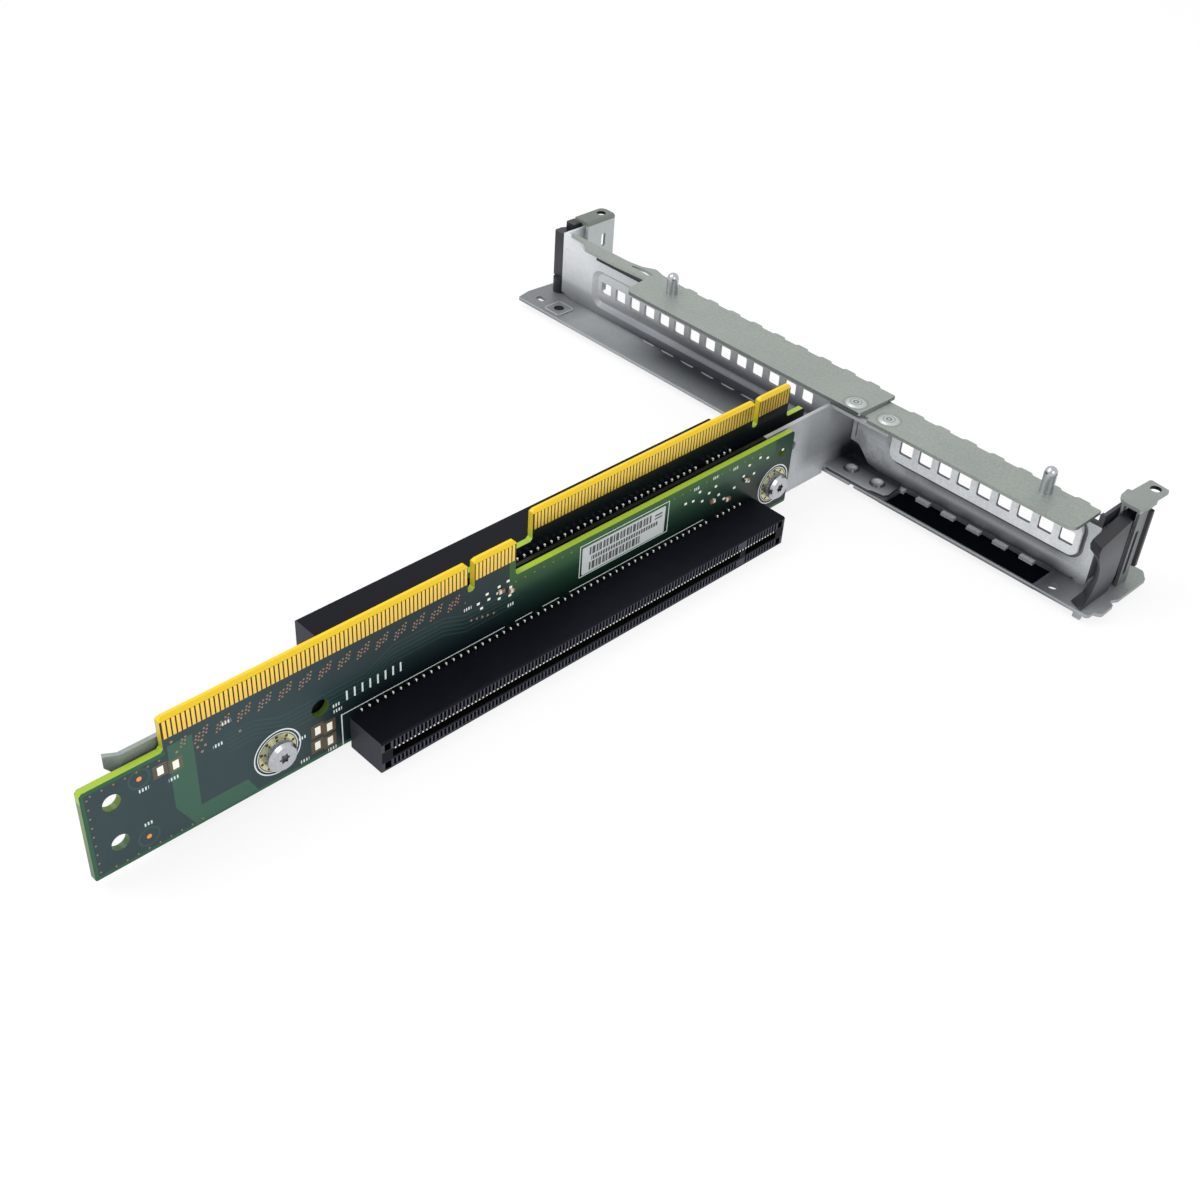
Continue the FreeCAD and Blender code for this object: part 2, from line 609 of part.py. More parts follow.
def build_base():
    """Lower sheet with end wings, a rail in front of the opening and screw holes drawn downwards."""
    points, radii = base_outline()
    base = plate_xy(points, radii, BASE_BOTTOM_Z, BASE_TOP_Z)
    hole_x, hole_y = BASE_HOLES[0]
    pad = plate_xy(rectangle(hole_x - PAD_SIZE / 2, hole_x + PAD_SIZE / 2, hole_y - PAD_SIZE / 2,
                             hole_y + PAD_SIZE / 2), [1.0] * 4, BASE_TOP_Z, BASE_TOP_Z + PAD_HEIGHT)
    collars = [rod(COLLAR_R, (x, y, BASE_BOTTOM_Z - COLLAR_HEIGHT), (0, 0, 1), COLLAR_HEIGHT)
               for x, y in BASE_HOLES]
    hook = box(76.4, 76.4 + HOOK_WIDTH, BASE_FRONT_Y + 0.4, BASE_FRONT_Y + 0.4 + SHEET,
               BASE_BOTTOM_Z - HOOK_HEIGHT, BASE_BOTTOM_Z)
    base = fused([base, pad, hook] + collars)
    cutters = [rod(BASE_HOLE_R, (x, y, 0), (0, 0, 1), 6) for x, y in BASE_HOLES]
    cutters += [rod(RIVET_R, (x, y, 0), (0, 0, 1), 6) for x, y in FOOT_RIVETS]
    cutters.append(plate_xy(rectangle(-114.9, -111.9, -7.6, -5.6), [0.4] * 4, 0, 6))
    cutters.append(plate_xy(rectangle(OPENING_LEFT_X, OPENING_RIGHT_X, OPENING_FRONT_Y, OPENING_BACK_Y),
                            [OPENING_R] * 4, 0, 6))
    for index in range(SLIT_COUNT):
        start = SLIT_FIRST_X + index * STRIP_PITCH
        cutters.append(box(start, start + SLIT_LENGTH, -SLIT_WIDTH - 0.1, -0.1, 0, 6))
    for x, y in (LEFT_HINGE, RIGHT_HINGE):
        cutters.append(rod(TRUNNION_R + RUNNING_GAP, (x, y, 0), (0, 0, 1), 6))
    return fused([cut_by(base, cutters)] + spring_strip())


def scalloped_edge(start_x, base_y, first):
    """Points along a back edge with shallow spring fingers, from right to left."""
    points = []
    x = first
    while x > start_x + SCALLOP_WIDTH:
        points += [(x, base_y), (x - SCALLOP_REACH, base_y + SCALLOP_REACH),
                   (x - SCALLOP_WIDTH + SCALLOP_REACH, base_y + SCALLOP_REACH), (x - SCALLOP_WIDTH, base_y)]
        x -= SCALLOP_PITCH
    return points


def build_left_top_plate():
    """Long upper sheet: wide over the vents, with a narrow arm that runs on to the left bracket."""
    back = LEFT_PLATE_BACK_Y
    start = LEFT_PLATE_START_X
    bumps = scalloped_edge(start + 4, back, LEFT_PLATE_END_X - 4.4)
    outline = [(start, PLATE_FRONT_Y + 1.6), (start + 1.6, PLATE_FRONT_Y), (LEFT_PLATE_END_X, PLATE_FRONT_Y),
               (LEFT_PLATE_END_X + 0.6, back)]
    outline += bumps
    outline += [(start + 0.5, back + 0.6), (start - 3.1, 3.2), (start - 6.9, 1.2), (start - 11.5, 0.5),
                (LEFT_END_X, 0.4), (LEFT_END_X, -0.7), (-102.0, -0.9), (-98.6, -3.9), (start - 12.5, -3.8),
                (start - 1.0, -3.0)]
    radii = [0.8, 0.8, 0.8, 0.6] + [0] * len(bumps) + [1.5, 1.6, 3.0, 4.0, 0.2, 0.2, 1.5, 1.5, 4.0, 0.6]
    top = LEFT_PLATE_Z + SHEET
    plate = plate_xy(outline, radii, LEFT_PLATE_Z, top)
    gap = plate_xy([(start - 10.5, -0.9), (start - 2.1, -1.3), (start - 0.9, 0.1), (start - 5.0, 0.6)],
                   [0.4, 0.5, 0.5, 1.5], LEFT_PLATE_Z - 1, top + 1)
    cutters = [gap, rod(RIVET_R, (TOP_RIVETS[0][0], TOP_RIVETS[0][1], 20), (0, 0, 1), 6)]
    cutters.append(rod(PIN_STAKE_R, (PINS[0][0], PINS[0][1], 20), (0, 0, 1), 6))
    return cut_by(plate, cutters)


def build_right_top_plate():
    """Short upper sheet, whose left end lies under the long one."""
    back = RIGHT_PLATE_BACK_Y
    front = PLATE_FRONT_Y + 0.5
    bumps = scalloped_edge(14.0, back, RIGHT_PLATE_END_X - 2.9)
    outline = [(RIGHT_PLATE_START_X, front + 1.1), (11.4, front + 1.1), (11.6, front),
               (RIGHT_PLATE_END_X, front), (RIGHT_PLATE_END_X, back)]
    outline += bumps
    outline += [(RIGHT_PLATE_START_X, back)]
    radii = [0.3, 0, 0, 2.2, 0.5] + [0] * len(bumps) + [0.3]
    plate = plate_xy(outline, radii, RIGHT_PLATE_Z, RIGHT_PLATE_Z + SHEET)
    cutters = [rod(RIVET_R, (x, y, 20), (0, 0, 1), 6) for x, y in TOP_RIVETS]
    cutters.append(rod(PIN_STAKE_R, (PINS[1][0], PINS[1][1], 20), (0, 0, 1), 6))
    return cut_by(plate, cutters)


def build_guide_pins():
    """Round-ended pins staked through the top plates."""
    pins = []
    for (x, y), top in zip(PINS, (LEFT_PLATE_Z + SHEET, RIGHT_PLATE_Z + SHEET)):
        shoulder = PIN_TOP_Z - PIN_R
        low = top - SHEET - SEAT_GAP
        stake_r = PIN_STAKE_R - FIT_GAP
        body = turned([(0, stake_r), (top - low, stake_r), (top - low, PIN_R), (shoulder - low, PIN_R)],
                      (x, y, low), (0, 0, 1))
        dome = Part.makeSphere(PIN_R, V(x, y, shoulder), V(0, 0, 1), 0, 90)
        pins.append(fused([body, dome]))
    return Part.makeCompound(pins)


# Slot covers
def pressed_block(x0, x1, z0, z1, slope, y_wide, y_narrow):
    """Tapered block between a wide rounded outline and a narrower one at another depth."""
    wires = []
    for grow, y in ((slope, y_wide), (0, y_narrow)):
        points = rectangle(x0 - grow, x1 + grow, z0 - grow, z1 + grow)
        wires.append(rounded_outline(points, [PANEL_R + grow] * 4, lambda p: V(p.x, y, p.y)))
    return Part.makeLoft(wires, True, True)


def vent_cutters(first_x, count, z):
    vents = []
    for index in range(count):
        x = first_x + index * VENT_PITCH
        outline = rectangle(x - VENT_WIDTH / 2, x + VENT_WIDTH / 2, z - VENT_HEIGHT / 2, z + VENT_HEIGHT / 2)
        vents.append(plate_xz(outline, [VENT_R] * 4, -5, 5))
    return vents


def cover_tab(tab_x, inward, face_y):
    """Side tab that turns back from the outer end of a cover."""
    inner = tab_x + inward * SHEET
    back = face_y + COVER_TAB_LENGTH
    return plate_yz([(face_y, COVER_FOOT_Z + 1.0), (back, COVER_FOOT_Z + 1.0), (back, COVER_END_HIGH_Z),
                     (face_y, COVER_END_HIGH_Z)], [0, 1.5, 1.5, 0], min(tab_x, inner), max(tab_x, inner))


def build_left_cover():
    """Long cover: its vented panel is pressed back from the face."""
    x = LEFT_COVER_X
    end = -1.0
    outline = [(x, COVER_FOOT_Z + 1.4), (x + 4.2, COVER_FOOT_Z), (end - 2.2, COVER_FOOT_Z), (end, 8.0),
               (end, 17.0), (end - 2.2, COVER_HIGH_Z), (x + 8.6, COVER_HIGH_Z), (x + 6.6, COVER_END_HIGH_Z),
               (x, COVER_END_HIGH_Z)]
    radii = [0.3, 1.0, 2.0, 2.0, 2.0, 2.0, 1.6, 1.6, 0]
    face = plate_xz(outline, radii, 0, SHEET)
    x0, x1 = LEFT_PANEL
    middle = COVER_MIDDLE_Z - PANEL_SHIFT
    low = middle - PANEL_HEIGHT / 2
    high = middle + PANEL_HEIGHT / 2
    slope = LEFT_PANEL_SLOPE
    tray = pressed_block(x0 - SHEET, x1 + SHEET, low - SHEET, high + SHEET, slope, 0, PANEL_DEPTH + SHEET)
    hollow = pressed_block(x0, x1, low, high, slope, 0, PANEL_DEPTH)
    cover = fused([face, tray, cover_tab(x, 1, 0)])
    return cut_by(cover, [hollow] + vent_cutters(LEFT_VENT_X, LEFT_VENT_COUNT, middle))


def build_right_cover():
    """Short cover, of the same kind but turned over: its vented panel stands out from the face."""
    x = RIGHT_COVER_X
    front = RIGHT_COVER_Y
    back = front + SHEET
    start = WEB_THICK / 2 + SEAT_GAP
    step = RIGHT_PLATE_END_X + SEAT_GAP
    outline = [(x, COVER_FOOT_Z + 0.6), (x - 1.6, COVER_FOOT_Z + 0.6), (x - 2.6, COVER_FOOT_Z + 1.0),
               (x - 4.0, COVER_FOOT_Z), (start + 10.4, COVER_FOOT_Z), (start + 6.8, 3.7), (start + 2.8, 7.9),
               (start, 8.1), (start, 17.0), (start + 2.6, COVER_HIGH_Z), (step, COVER_HIGH_Z),
               (step, COVER_END_HIGH_Z), (x, COVER_END_HIGH_Z)]
    radii = [0, 0.3, 0.3, 0.3, 1.0, 2.5, 1.8, 0.4, 2.0, 2.0, 0.3, 0.3, 0]
    face = plate_xz(outline, radii, front, back)
    x0, x1 = RIGHT_PANEL
    middle = COVER_MIDDLE_Z + PANEL_SHIFT
    low = middle - PANEL_HEIGHT / 2
    high = middle + PANEL_HEIGHT / 2
    slope = RIGHT_PANEL_SLOPE
    raised = pressed_block(x0, x1, low, high, slope, back, front - PANEL_DEPTH)
    hollow = pressed_block(x0 + SHEET, x1 - SHEET, low + SHEET, high - SHEET, slope, back,
                           back - PANEL_DEPTH)
    slit = box(start + 1.2, start + 1.55, front - 1, back + 1, 9.3, 14.0)
    cover = fused([face, raised, cover_tab(x, -1, front)])
    return cut_by(cover, [hollow, slit] + vent_cutters(RIGHT_VENT_X, RIGHT_VENT_COUNT, middle))


# End brackets
def build_left_end_plate():
    """Bracket with a holed top tab and a slotted side wall, bent from one strip."""
    top = END_TAB_TOP_Z
    outer = LEFT_TAB_HOLE[0] - 2.7
    inner = LEFT_END_X - SHEET
    bend = [(outer, top), (LEFT_END_X, top), (LEFT_END_X, BASE_TOP_Z), (inner, BASE_TOP_Z),
            (inner, top - SHEET), (outer, top - SHEET)]
    wall = plate_xz(bend, [0, 1.5, 0, 0, 0.6, 0], LEFT_END_FRONT_Y, LEFT_END_BACK_Y)
    corner = plate_xy([(outer - 1, LEFT_END_FRONT_Y), (LEFT_END_X, LEFT_END_FRONT_Y),
                       (LEFT_END_X, LEFT_END_BACK_Y), (outer, LEFT_END_BACK_Y), (outer, 8)],
                      [0, 0, 0.6, 1.8, 0], BASE_TOP_Z, top)
    slot = plate_yz(rectangle(12.0, 13.6, 16.4, 20.6), [0.7] * 4, LEFT_END_X - 3, LEFT_END_X + 3)
    hole = rod(END_TAB_HOLE_R, (LEFT_TAB_HOLE[0], LEFT_TAB_HOLE[1], 20), (0, 0, 1), 8)
    return cut_by(wall.common(corner), [slot, hole])


def build_right_end_plate():
    """Bracket with a holed top tab, an inner wall and a slotted strap outside the latch."""
    top = END_TAB_TOP_Z
    tab = plate_xy([(74.6, 3.5), (STRAP_X, 3.5), (79.3, 6.4), (79.3, 9.8), (78.7, 11.6), (78.9, 16.2),
                    (73.4, 16.9), (73.0, 11.0), (72.9, 9.3), (71.9, 9.0), (72.2, 5.6), (73.2, 4.2)],
                   [0.6, 0.2, 0.8, 0.8, 0.5, 0.8, 0.6, 0.5, 0.2, 0.3, 0.8, 0.5], top - SHEET, top)
    wall = box(INNER_WALL_X, INNER_WALL_X + INNER_WALL_THICK, 4.6, 12.4, BASE_TOP_Z, top - SHEET)
    strap = box(STRAP_X - STRAP_THICK, STRAP_X, STRAP_FRONT_Y, STRAP_BACK_Y, BASE_TOP_Z, top - SHEET)
    window = plate_yz(rectangle(4.9, 6.3, 6.0, 18.6), [0.6] * 4, STRAP_X - 2, STRAP_X + 2)
    hole = rod(END_TAB_HOLE_R, (RIGHT_TAB_HOLE[0], RIGHT_TAB_HOLE[1], 20), (0, 0, 1), 8)
    return cut_by(fused([tab, wall, strap]), [window, hole])


# Latches
def loft_between(near, far, x_near, x_far):
    wires = []
    for outline, x in ((near, x_near), (far, x_far)):
        corner = [V(x, y, z) for y, z in outline]
        wires.append(Part.makePolygon(corner + [corner[0]]))
    return Part.makeLoft(wires, True, True)


def build_right_latch():
    """Rocking lever: a swept blade in front of its pivot and a finger grip behind it."""
    low = LATCH_LOW_Z
    top = LATCH_TOP_Z
    inner = [(-9.4, low), (-4.6, low + 0.3), (-1.6, low + 1.8), (-0.6, 7.2), (-1.0, 10.0), (-2.6, 12.6),
             (-5.4, 15.2), (-7.6, 17.4), (-8.4, 19.2), (-7.8, 20.2), (2.4, top - 0.3), (3.6, top - 0.1),
             (3.6, 7.0), (2.0, low)]
    outer = [(-11.0, low), (-9.0, low + 2.0), (-7.4, low + 4.4), (-6.8, 9.4), (-6.8, 11.4), (-7.3, 13.4),
             (-8.4, 15.4), (-9.4, 17.2), (-10.0, 19.2), (-9.6, 20.4), (1.8, top + 0.1), (2.4, top + 0.2),
             (2.4, 7.0), (1.0, low)]
    blade = loft_between(inner, outer, LATCH_IN_X, LATCH_OUT_X)
    neck = plate_xy([(LATCH_IN_X, 2.8), (76.4, 2.8), (76.4, 8.3), (79.2, 9.3), (79.2, 10.6), (77.0, 10.8),
                     (76.2, 10.2), (LATCH_IN_X, 6.8)], [0, 0, 0, 0.3, 0.6, 0.8, 0.3, 1.2], 6.8, top)
    x, y = RIGHT_HINGE
    post = rod(TRUNNION_R + 0.2, (x, y, low), (0, 0, 1), top + 1.6 - low)
    trunnion = rod(TRUNNION_R, (x, y, BASE_BOTTOM_Z - 0.4), (0, 0, 1), low - BASE_BOTTOM_Z + 1)
    return fused([blade, neck, post, trunnion])


def build_left_latch():
    """Slab in front of its pivot, with a lower boss and an upper knob."""
    low = LATCH_LOW_Z
    x, y = LEFT_HINGE
    slab = plate_xy([(x - 2.7, 1.0), (x + 2.1, 1.0), (x + 2.1, y + 2.1), (x - 2.1, y + 2.1), (x - 2.1, 5.0),
                     (x - 2.7, 4.0)], [0.5, 0.5, 2.05, 2.05, 0.5, 0.5], SLAB_LOW_Z, SLAB_HIGH_Z)
    boss = rod(1.85, (x, 1.2, low), (0, 0, 1), SLAB_LOW_Z - low)
    knob = plate_xy([(x - 1.7, 4.4), (x + 1.9, 4.6), (x + 1.9, 8.2), (x - 1.7, 8.0)], [0.6] * 4,
                    SLAB_HIGH_Z, SLAB_HIGH_Z + KNOB_HEIGHT)
    post = rod(TRUNNION_R + 0.4, (x, y, low), (0, 0, 1), SLAB_LOW_Z - low)
    trunnion = rod(TRUNNION_R, (x, y, BASE_BOTTOM_Z - 0.4), (0, 0, 1), low - BASE_BOTTOM_Z + 1)
    return fused([slab, boss, knob, post, trunnion])


# Small flat parts
def build_label():
    start = SLOT_START_Y + LABEL_SHIFT
    return plate_yz(rectangle(start, start + LABEL_LENGTH, LABEL_LOW_Z, LABEL_LOW_Z + LABEL_HEIGHT),
                    [0.4] * 4, FRONT_FACE_X, FRONT_FACE_X + LABEL_THICK)


def build_base_pad():
    """Black film under the opening of the base."""
    return box(OPENING_LEFT_X - FILM_MARGIN, OPENING_RIGHT_X + FILM_MARGIN / 2, BASE_FRONT_Y + 0.3,
               OPENING_BACK_Y + FILM_MARGIN, BASE_BOTTOM_Z - FILM_THICK, BASE_BOTTOM_Z)


def build_chip_parts():
    """Small soldered blocks near the ends of the card edges."""
    chips = []
    for shift, z in ((39.8, 20.6), (42.6, 19.4), (106.2, 14.4), (111.8, 12.6), (118.2, 15.4)):
        y = SLOT_START_Y + shift
        chips.append(box(FRONT_FACE_X, FRONT_FACE_X + CHIP_THICK, y - CHIP_LENGTH / 2, y + CHIP_LENGTH / 2,
                         z - CHIP_HEIGHT / 2, z + CHIP_HEIGHT / 2))
    return Part.makeCompound(chips)


def build_all():
    front_shank = BOARD_THICK + FRONT_BOARD_GAP + WEB_THICK - 0.1
    rear_shank = BOARD_THICK + REAR_BOARD_GAP - 0.7
    return {
        "web_plate": build_web(),
        "crossbar_base": build_base(),
        "left_top_plate": build_left_top_plate(),
        "right_top_plate": build_right_top_plate(),
        "left_slot_cover": build_left_cover(),
        "right_slot_cover": build_right_cover(),
        "left_end_plate": build_left_end_plate(),
        "right_end_plate": build_right_end_plate(),
        "left_latch": build_left_latch(),
        "right_latch": build_right_latch(),
        "guide_pins": build_guide_pins(),
        "top_rivets": build_top_rivets(),
        "foot_rivets": build_foot_rivets(),
        "front_board": build_front_board(),
        "rear_board": build_rear_board(),
        "front_gold_fingers": build_fingers(FRONT_BACK_X, FRONT_FACE_X, FRONT_FINGER_Y),
        "rear_gold_fingers": build_fingers(REAR_BACK_X, REAR_FACE_X, REAR_FINGER_Y),
        "front_slot_housing": build_slot(FRONT_FACE_X, 1, FRONT_SLOT_Z),
        "rear_slot_housing": build_slot(REAR_BACK_X, -1, REAR_SLOT_Z),
        "front_slot_tails": build_front_tails(),
        "rear_slot_tails": build_rear_tails(),
        "front_board_screws": build_screws(FRONT_FACE_X, 1, front_shank),
        "rear_board_screws": build_screws(REAR_BACK_X, -1, rear_shank),
        "board_standoffs": build_standoffs(),
        "board_label": build_label(),
        "base_pad": build_base_pad(),
        "chip_parts": build_chip_parts(),
    }


def footprint_middle(shapes):
    """Middle of the whole object's footprint, to a hundredth of a millimetre."""
    around = FreeCAD.BoundBox()
    for shape in shapes:
        around.add(shape.optimalBoundingBox(False, False))
    return V(round((around.XMin + around.XMax) / 2, 2), round((around.YMin + around.YMax) / 2, 2), 0)


pieces = build_all()
middle_point = footprint_middle(pieces.values())
for name, piece in pieces.items():
    piece.translate(-middle_point)
    piece.exportStep("parts/" + name + ".step")
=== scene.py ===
"""Riser card assembly: finishes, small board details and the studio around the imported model."""
import math

import bpy
from mathutils import Matrix, Vector


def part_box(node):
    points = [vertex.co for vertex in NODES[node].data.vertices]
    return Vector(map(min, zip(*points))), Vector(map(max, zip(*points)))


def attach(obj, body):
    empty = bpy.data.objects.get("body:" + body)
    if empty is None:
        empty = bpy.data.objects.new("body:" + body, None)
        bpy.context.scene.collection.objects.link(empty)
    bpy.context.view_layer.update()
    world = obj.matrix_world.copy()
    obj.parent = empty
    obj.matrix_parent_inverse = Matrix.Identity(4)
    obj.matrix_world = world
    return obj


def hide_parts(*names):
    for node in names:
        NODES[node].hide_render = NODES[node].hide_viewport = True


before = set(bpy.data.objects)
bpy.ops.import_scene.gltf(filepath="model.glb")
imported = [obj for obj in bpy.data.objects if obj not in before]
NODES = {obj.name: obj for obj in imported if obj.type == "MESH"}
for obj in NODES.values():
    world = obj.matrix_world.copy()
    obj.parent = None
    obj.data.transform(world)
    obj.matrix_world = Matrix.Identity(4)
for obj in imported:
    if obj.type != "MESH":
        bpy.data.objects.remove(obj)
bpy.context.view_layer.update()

bl_info = {
    "name": "Riser card assembly",
    "version": (1, 0, 0),
    "blender": (4, 5, 0),
    "location": "View3D > Sidebar > Riser",
    "description": "Finishes and small board details of a riser card assembly",
    "category": "Object",
}

MM = 0.001
MM_PER_METRE = 1000
ROOT = "frame"

# Sockets of a Mix node that mixes colours
MIX_SHARE = 0
MIX_UNDER = 6
MIX_OVER = 7
MIX_RESULT = 2


def paint(red, green, blue):
    """Linear colour from the usual 0 to 255 values."""
    values = []
    for part in (red, green, blue):
        share = part / 255
        values.append(share / 12.92 if share <= 0.04045 else ((share + 0.055) / 1.055) ** 2.4)
    return tuple(values) + (1.0,)


def grey(level):
    """Grey of the sheet metal, cooler in the dark."""
    return paint(level - 2, level, level + (6 if level < 110 else 1))


# Places are counted in millimetres from the crossing of the web and the long cover
# The front board gives that point: its inner face and its free end
BOARD_INNER_X = 1.35
BOARD_FREE_Y = -221.7
BOARD_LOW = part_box("front_board")[0]
ORIGIN = Vector((BOARD_LOW[0] / MM - BOARD_INNER_X, BOARD_LOW[1] / MM - BOARD_FREE_Y, 0))


def corners_mm(node):
    """Lowest and highest corner of a CAD node, counted from the crossing."""
    low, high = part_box(node)
    return Vector(low) / MM - ORIGIN, Vector(high) / MM - ORIGIN


# Small details, with places in millimetres as above
# SKIN is how far below a face its own finish still reaches
SKIN = 0.05
COPPER_DOT = paint(150, 116, 92)
BARE_GREEN = paint(40, 92, 62)
TOP_RIVET_PLACES = ((5.6, -9.2), (15.2, -7.9))
RIVET_RIM_RING = (3.0, 3.3)
RIVET_TROUGH = (1.35, 1.6)
RIVET_MARK = (0.4, 0.8)
BOARD_SCREW_PLACES = ((-181.4, 9.35), (-35.1, 9.35))
FIDUCIALS = ((-210.2, 20.7), (-210.1, 5.8))
EDGE_VIA_PITCH = 2.3
EDGE_VIA_R = 0.2
LOWER_VIA_RISE = 1.1
UPPER_VIA_PITCH = 2.7
UPPER_VIA_R = 0.19
UPPER_VIA_Z = 20.9
LONE_VIA_R = 0.3
FIDUCIAL_R = 0.52
FIDUCIAL_RING = (1.9, 2.3)
VIA_GROUP_R = 0.22
VIA_GROUP_PITCH = 4.6
VIA_COLUMNS = ((0.0, 25.0), (0.75, 24.7), (1.75, 24.1), (2.5, 23.8))
BASE_HOLE = (-105.2, -6.8)
BASE_HOLE_R = 1.55
BASE_HOLE_PAD = 6.5
TAB_HOLES = ((-110.9, 14.4), (76.3, 14.2))
TAB_HOLE_R = 1.35
SLIT_FIRST_X = -77.0
SLIT_LENGTH = 5.0
SLIT_PITCH = 7.82
RIGHT_PANEL = (13.8, 69.5, 8.95, 18.7)
RIGHT_PANEL_CORNER_R = 2.6
BOARD_EDGE_STRIP = 0.8
SCREW_PAD_R = 4.3
SCREW_PAD_HOLES = 10
SCREW_PAD_HOLE_R = 0.36
SCREW_PAD_HOLE_RING_R = 3.85
SCREW_PAD_RINGS = ((4.5, 4.7), (5.15, 5.45))
PRINT_MARK_HALF_LENGTH = 1.0
PRINT_MARK_HALF_HEIGHT = 0.4
CONTACT_PITCH = 1.0
LONE_VIAS = ((-203, 25.4), (-202.2, 22.4), (-198, 21.0), (-197, 22.2), (-196.4, 20.6), (-197.2, 19.4),
             (-189.0, 19.6), (-132.4, 16.7), (-130.9, 16.4), (-129.4, 16.1), (-127.9, 15.8), (-126.2, 15.5))
LARGE_PADS = ((-205.94, 20.13), (-202.77, 19.7), (-171.99, 9.36), (-169.17, 8.79), (-172.24, 5.51),
              (-169.2, 5.01))
SMALL_PADS = ((-130.6, 20.2), (-129.7, 18.6), (-127.7, 20.0), (-128.2, 21.6), (-125.2, 20.4), (-124.9, 21.9),
              (-124.8, 18.7), (-122.4, 22.2), (-121.6, 20.2), (-121.8, 18.1), (-67.5, 17.7), (-64.9, 17.3),
              (-61.6, 15.9), (-62.8, 19.0), (-59.4, 17.2), (-57.2, 18.2), (-53.7, 13.1), (-55.8, 15.2),
              (-47.1, 16.8), (-44.9, 14.4), (-43.3, 16.0), (-45.4, 19.2), (-41.6, 19.8), (-38.7, 18.6),
              (-33.1, 18.7), (-50.2, 14.8))
PRINT_MARKS = ((-209.6, 17.7), (-209.9, 9.0), (-203.6, 16.6), (-175.8, 9.6), (-175.4, 3.4), (-166.97, 11.9),
               (-167.2, 13.4), (-193.9, 19.0), (-191.6, 23.4), (-133.4, 20.3), (-121.4, 15.4), (-64.0, 20.4),
               (-50.4, 20.4), (-57.4, 20.8), (-168.8, 2.6))

# Depth of the grain in the finishes, in metres
STEEL_GRAIN = 0.00003
PLASTIC_GRAIN = 0.00002

# Soldered tails: for each slot, the shift in X and Z from the corner of the CAD tails, and the scale
TAIL_ROWS = (("front", (0.2, 0.9), 0.7), ("rear", (0.6, 0.35), 0.84))
TAIL_FIRST_Y = 0.3
TAILS_BEFORE_KEY = 52
TAILS_AFTER_KEY = 5
TAIL_BLOB = (0.62, 0.56, 0.5)
TAIL_BLOB_BEVEL = 0.14
TAIL_LEAD = (0.42, 0.36, 0.8)
TAIL_LEAD_BEVEL = 0.08

# Contact tips: extent of one, and where a row starts in its slot
TIP_EXTENT = (0.36, 0.3, 0.26)
TIP_BEVEL = 0.06
TIP_DEPTH = 2.6
TIP_FIRST_Y = 3.35
TIP_OFF_MIDDLE = 0.8
TIPS_IN_ROW = 103

# Soldered pads: extent along Y and Z
LARGE_PAD_EXTENT = (1.3, 2.0)
SMALL_PAD_EXTENT = (0.8, 0.6)
PAD_BEVEL = 0.05

# Studio, with places and widths in metres and places counted from the crossing
KEY_PLACE = (-0.35, -0.45, 0.75)
KEY_WIDTH = 0.7
FILL_PLACE = (0.75, -0.25, 0.5)
FILL_WIDTH = 0.5
LIGHT_AIM = (0, -0.08, 0.01)
FLOOR_WIDTH = 6
FLOOR_HEIGHT = -0.0002
FLOOR_GLOW = 0.84
VIEW_AZIMUTH = 43.52
VIEW_ELEVATION = 38.25
VIEW_ROLL = 4.15
VIEW_PLACE = (0.19666, -0.29789, 0.22437)
FOCAL_PIXELS = 1566.9
PHOTO_PIXELS = 1200
SENSOR = 36.0


# Settings that a user would change
class RiserColours(bpy.types.PropertyGroup):
    steel: bpy.props.FloatVectorProperty(
        name="Plated steel", description="Tint of the plated sheet metal", size=4,
        subtype="COLOR", min=0, max=1, default=paint(250, 252, 255))
    bright: bpy.props.FloatVectorProperty(
        name="Bright steel", description="Colour of screws and pins", size=4,
        subtype="COLOR", min=0, max=1, default=paint(196, 198, 204))
    gold: bpy.props.FloatVectorProperty(
        name="Gold", description="Colour of the plated contacts", size=4,
        subtype="COLOR", min=0, max=1, default=paint(250, 214, 96))
    solder: bpy.props.FloatVectorProperty(
        name="Solder", description="Colour of tails, tips and pads", size=4,
        subtype="COLOR", min=0, max=1, default=paint(250, 250, 238))
    moulding: bpy.props.FloatVectorProperty(
        name="Black plastic", description="Colour of card slots and latches", size=4,
        subtype="COLOR", min=0, max=1, default=paint(15, 16, 24))
    backdrop: bpy.props.FloatVectorProperty(
        name="Backdrop", description="Colour of the floor and background", size=4,
        subtype="COLOR", min=0, max=1, default=(1, 1, 1, 1))


class RiserSizes(bpy.types.PropertyGroup):
    tail_pitch: bpy.props.FloatProperty(
        name="Tail pitch", description="Distance between soldered tails", unit="LENGTH", default=0.002)
    tip_pitch: bpy.props.FloatProperty(
        name="Contact pitch", description="Distance between contacts", unit="LENGTH", default=0.001)
    pad_height: bpy.props.FloatProperty(
        name="Pad height", description="Height of the soldered pads", unit="LENGTH", default=0.00012)
    key_light: bpy.props.FloatProperty(
        name="Key light", description="Power of the large soft light", unit="POWER", default=5.0)
    fill_light: bpy.props.FloatProperty(
        name="Fill light", description="Power of the small soft light", unit="POWER", default=1.6)
    sky: bpy.props.FloatProperty(
        name="Sky", description="Strength of the light from all sides", default=0.8)


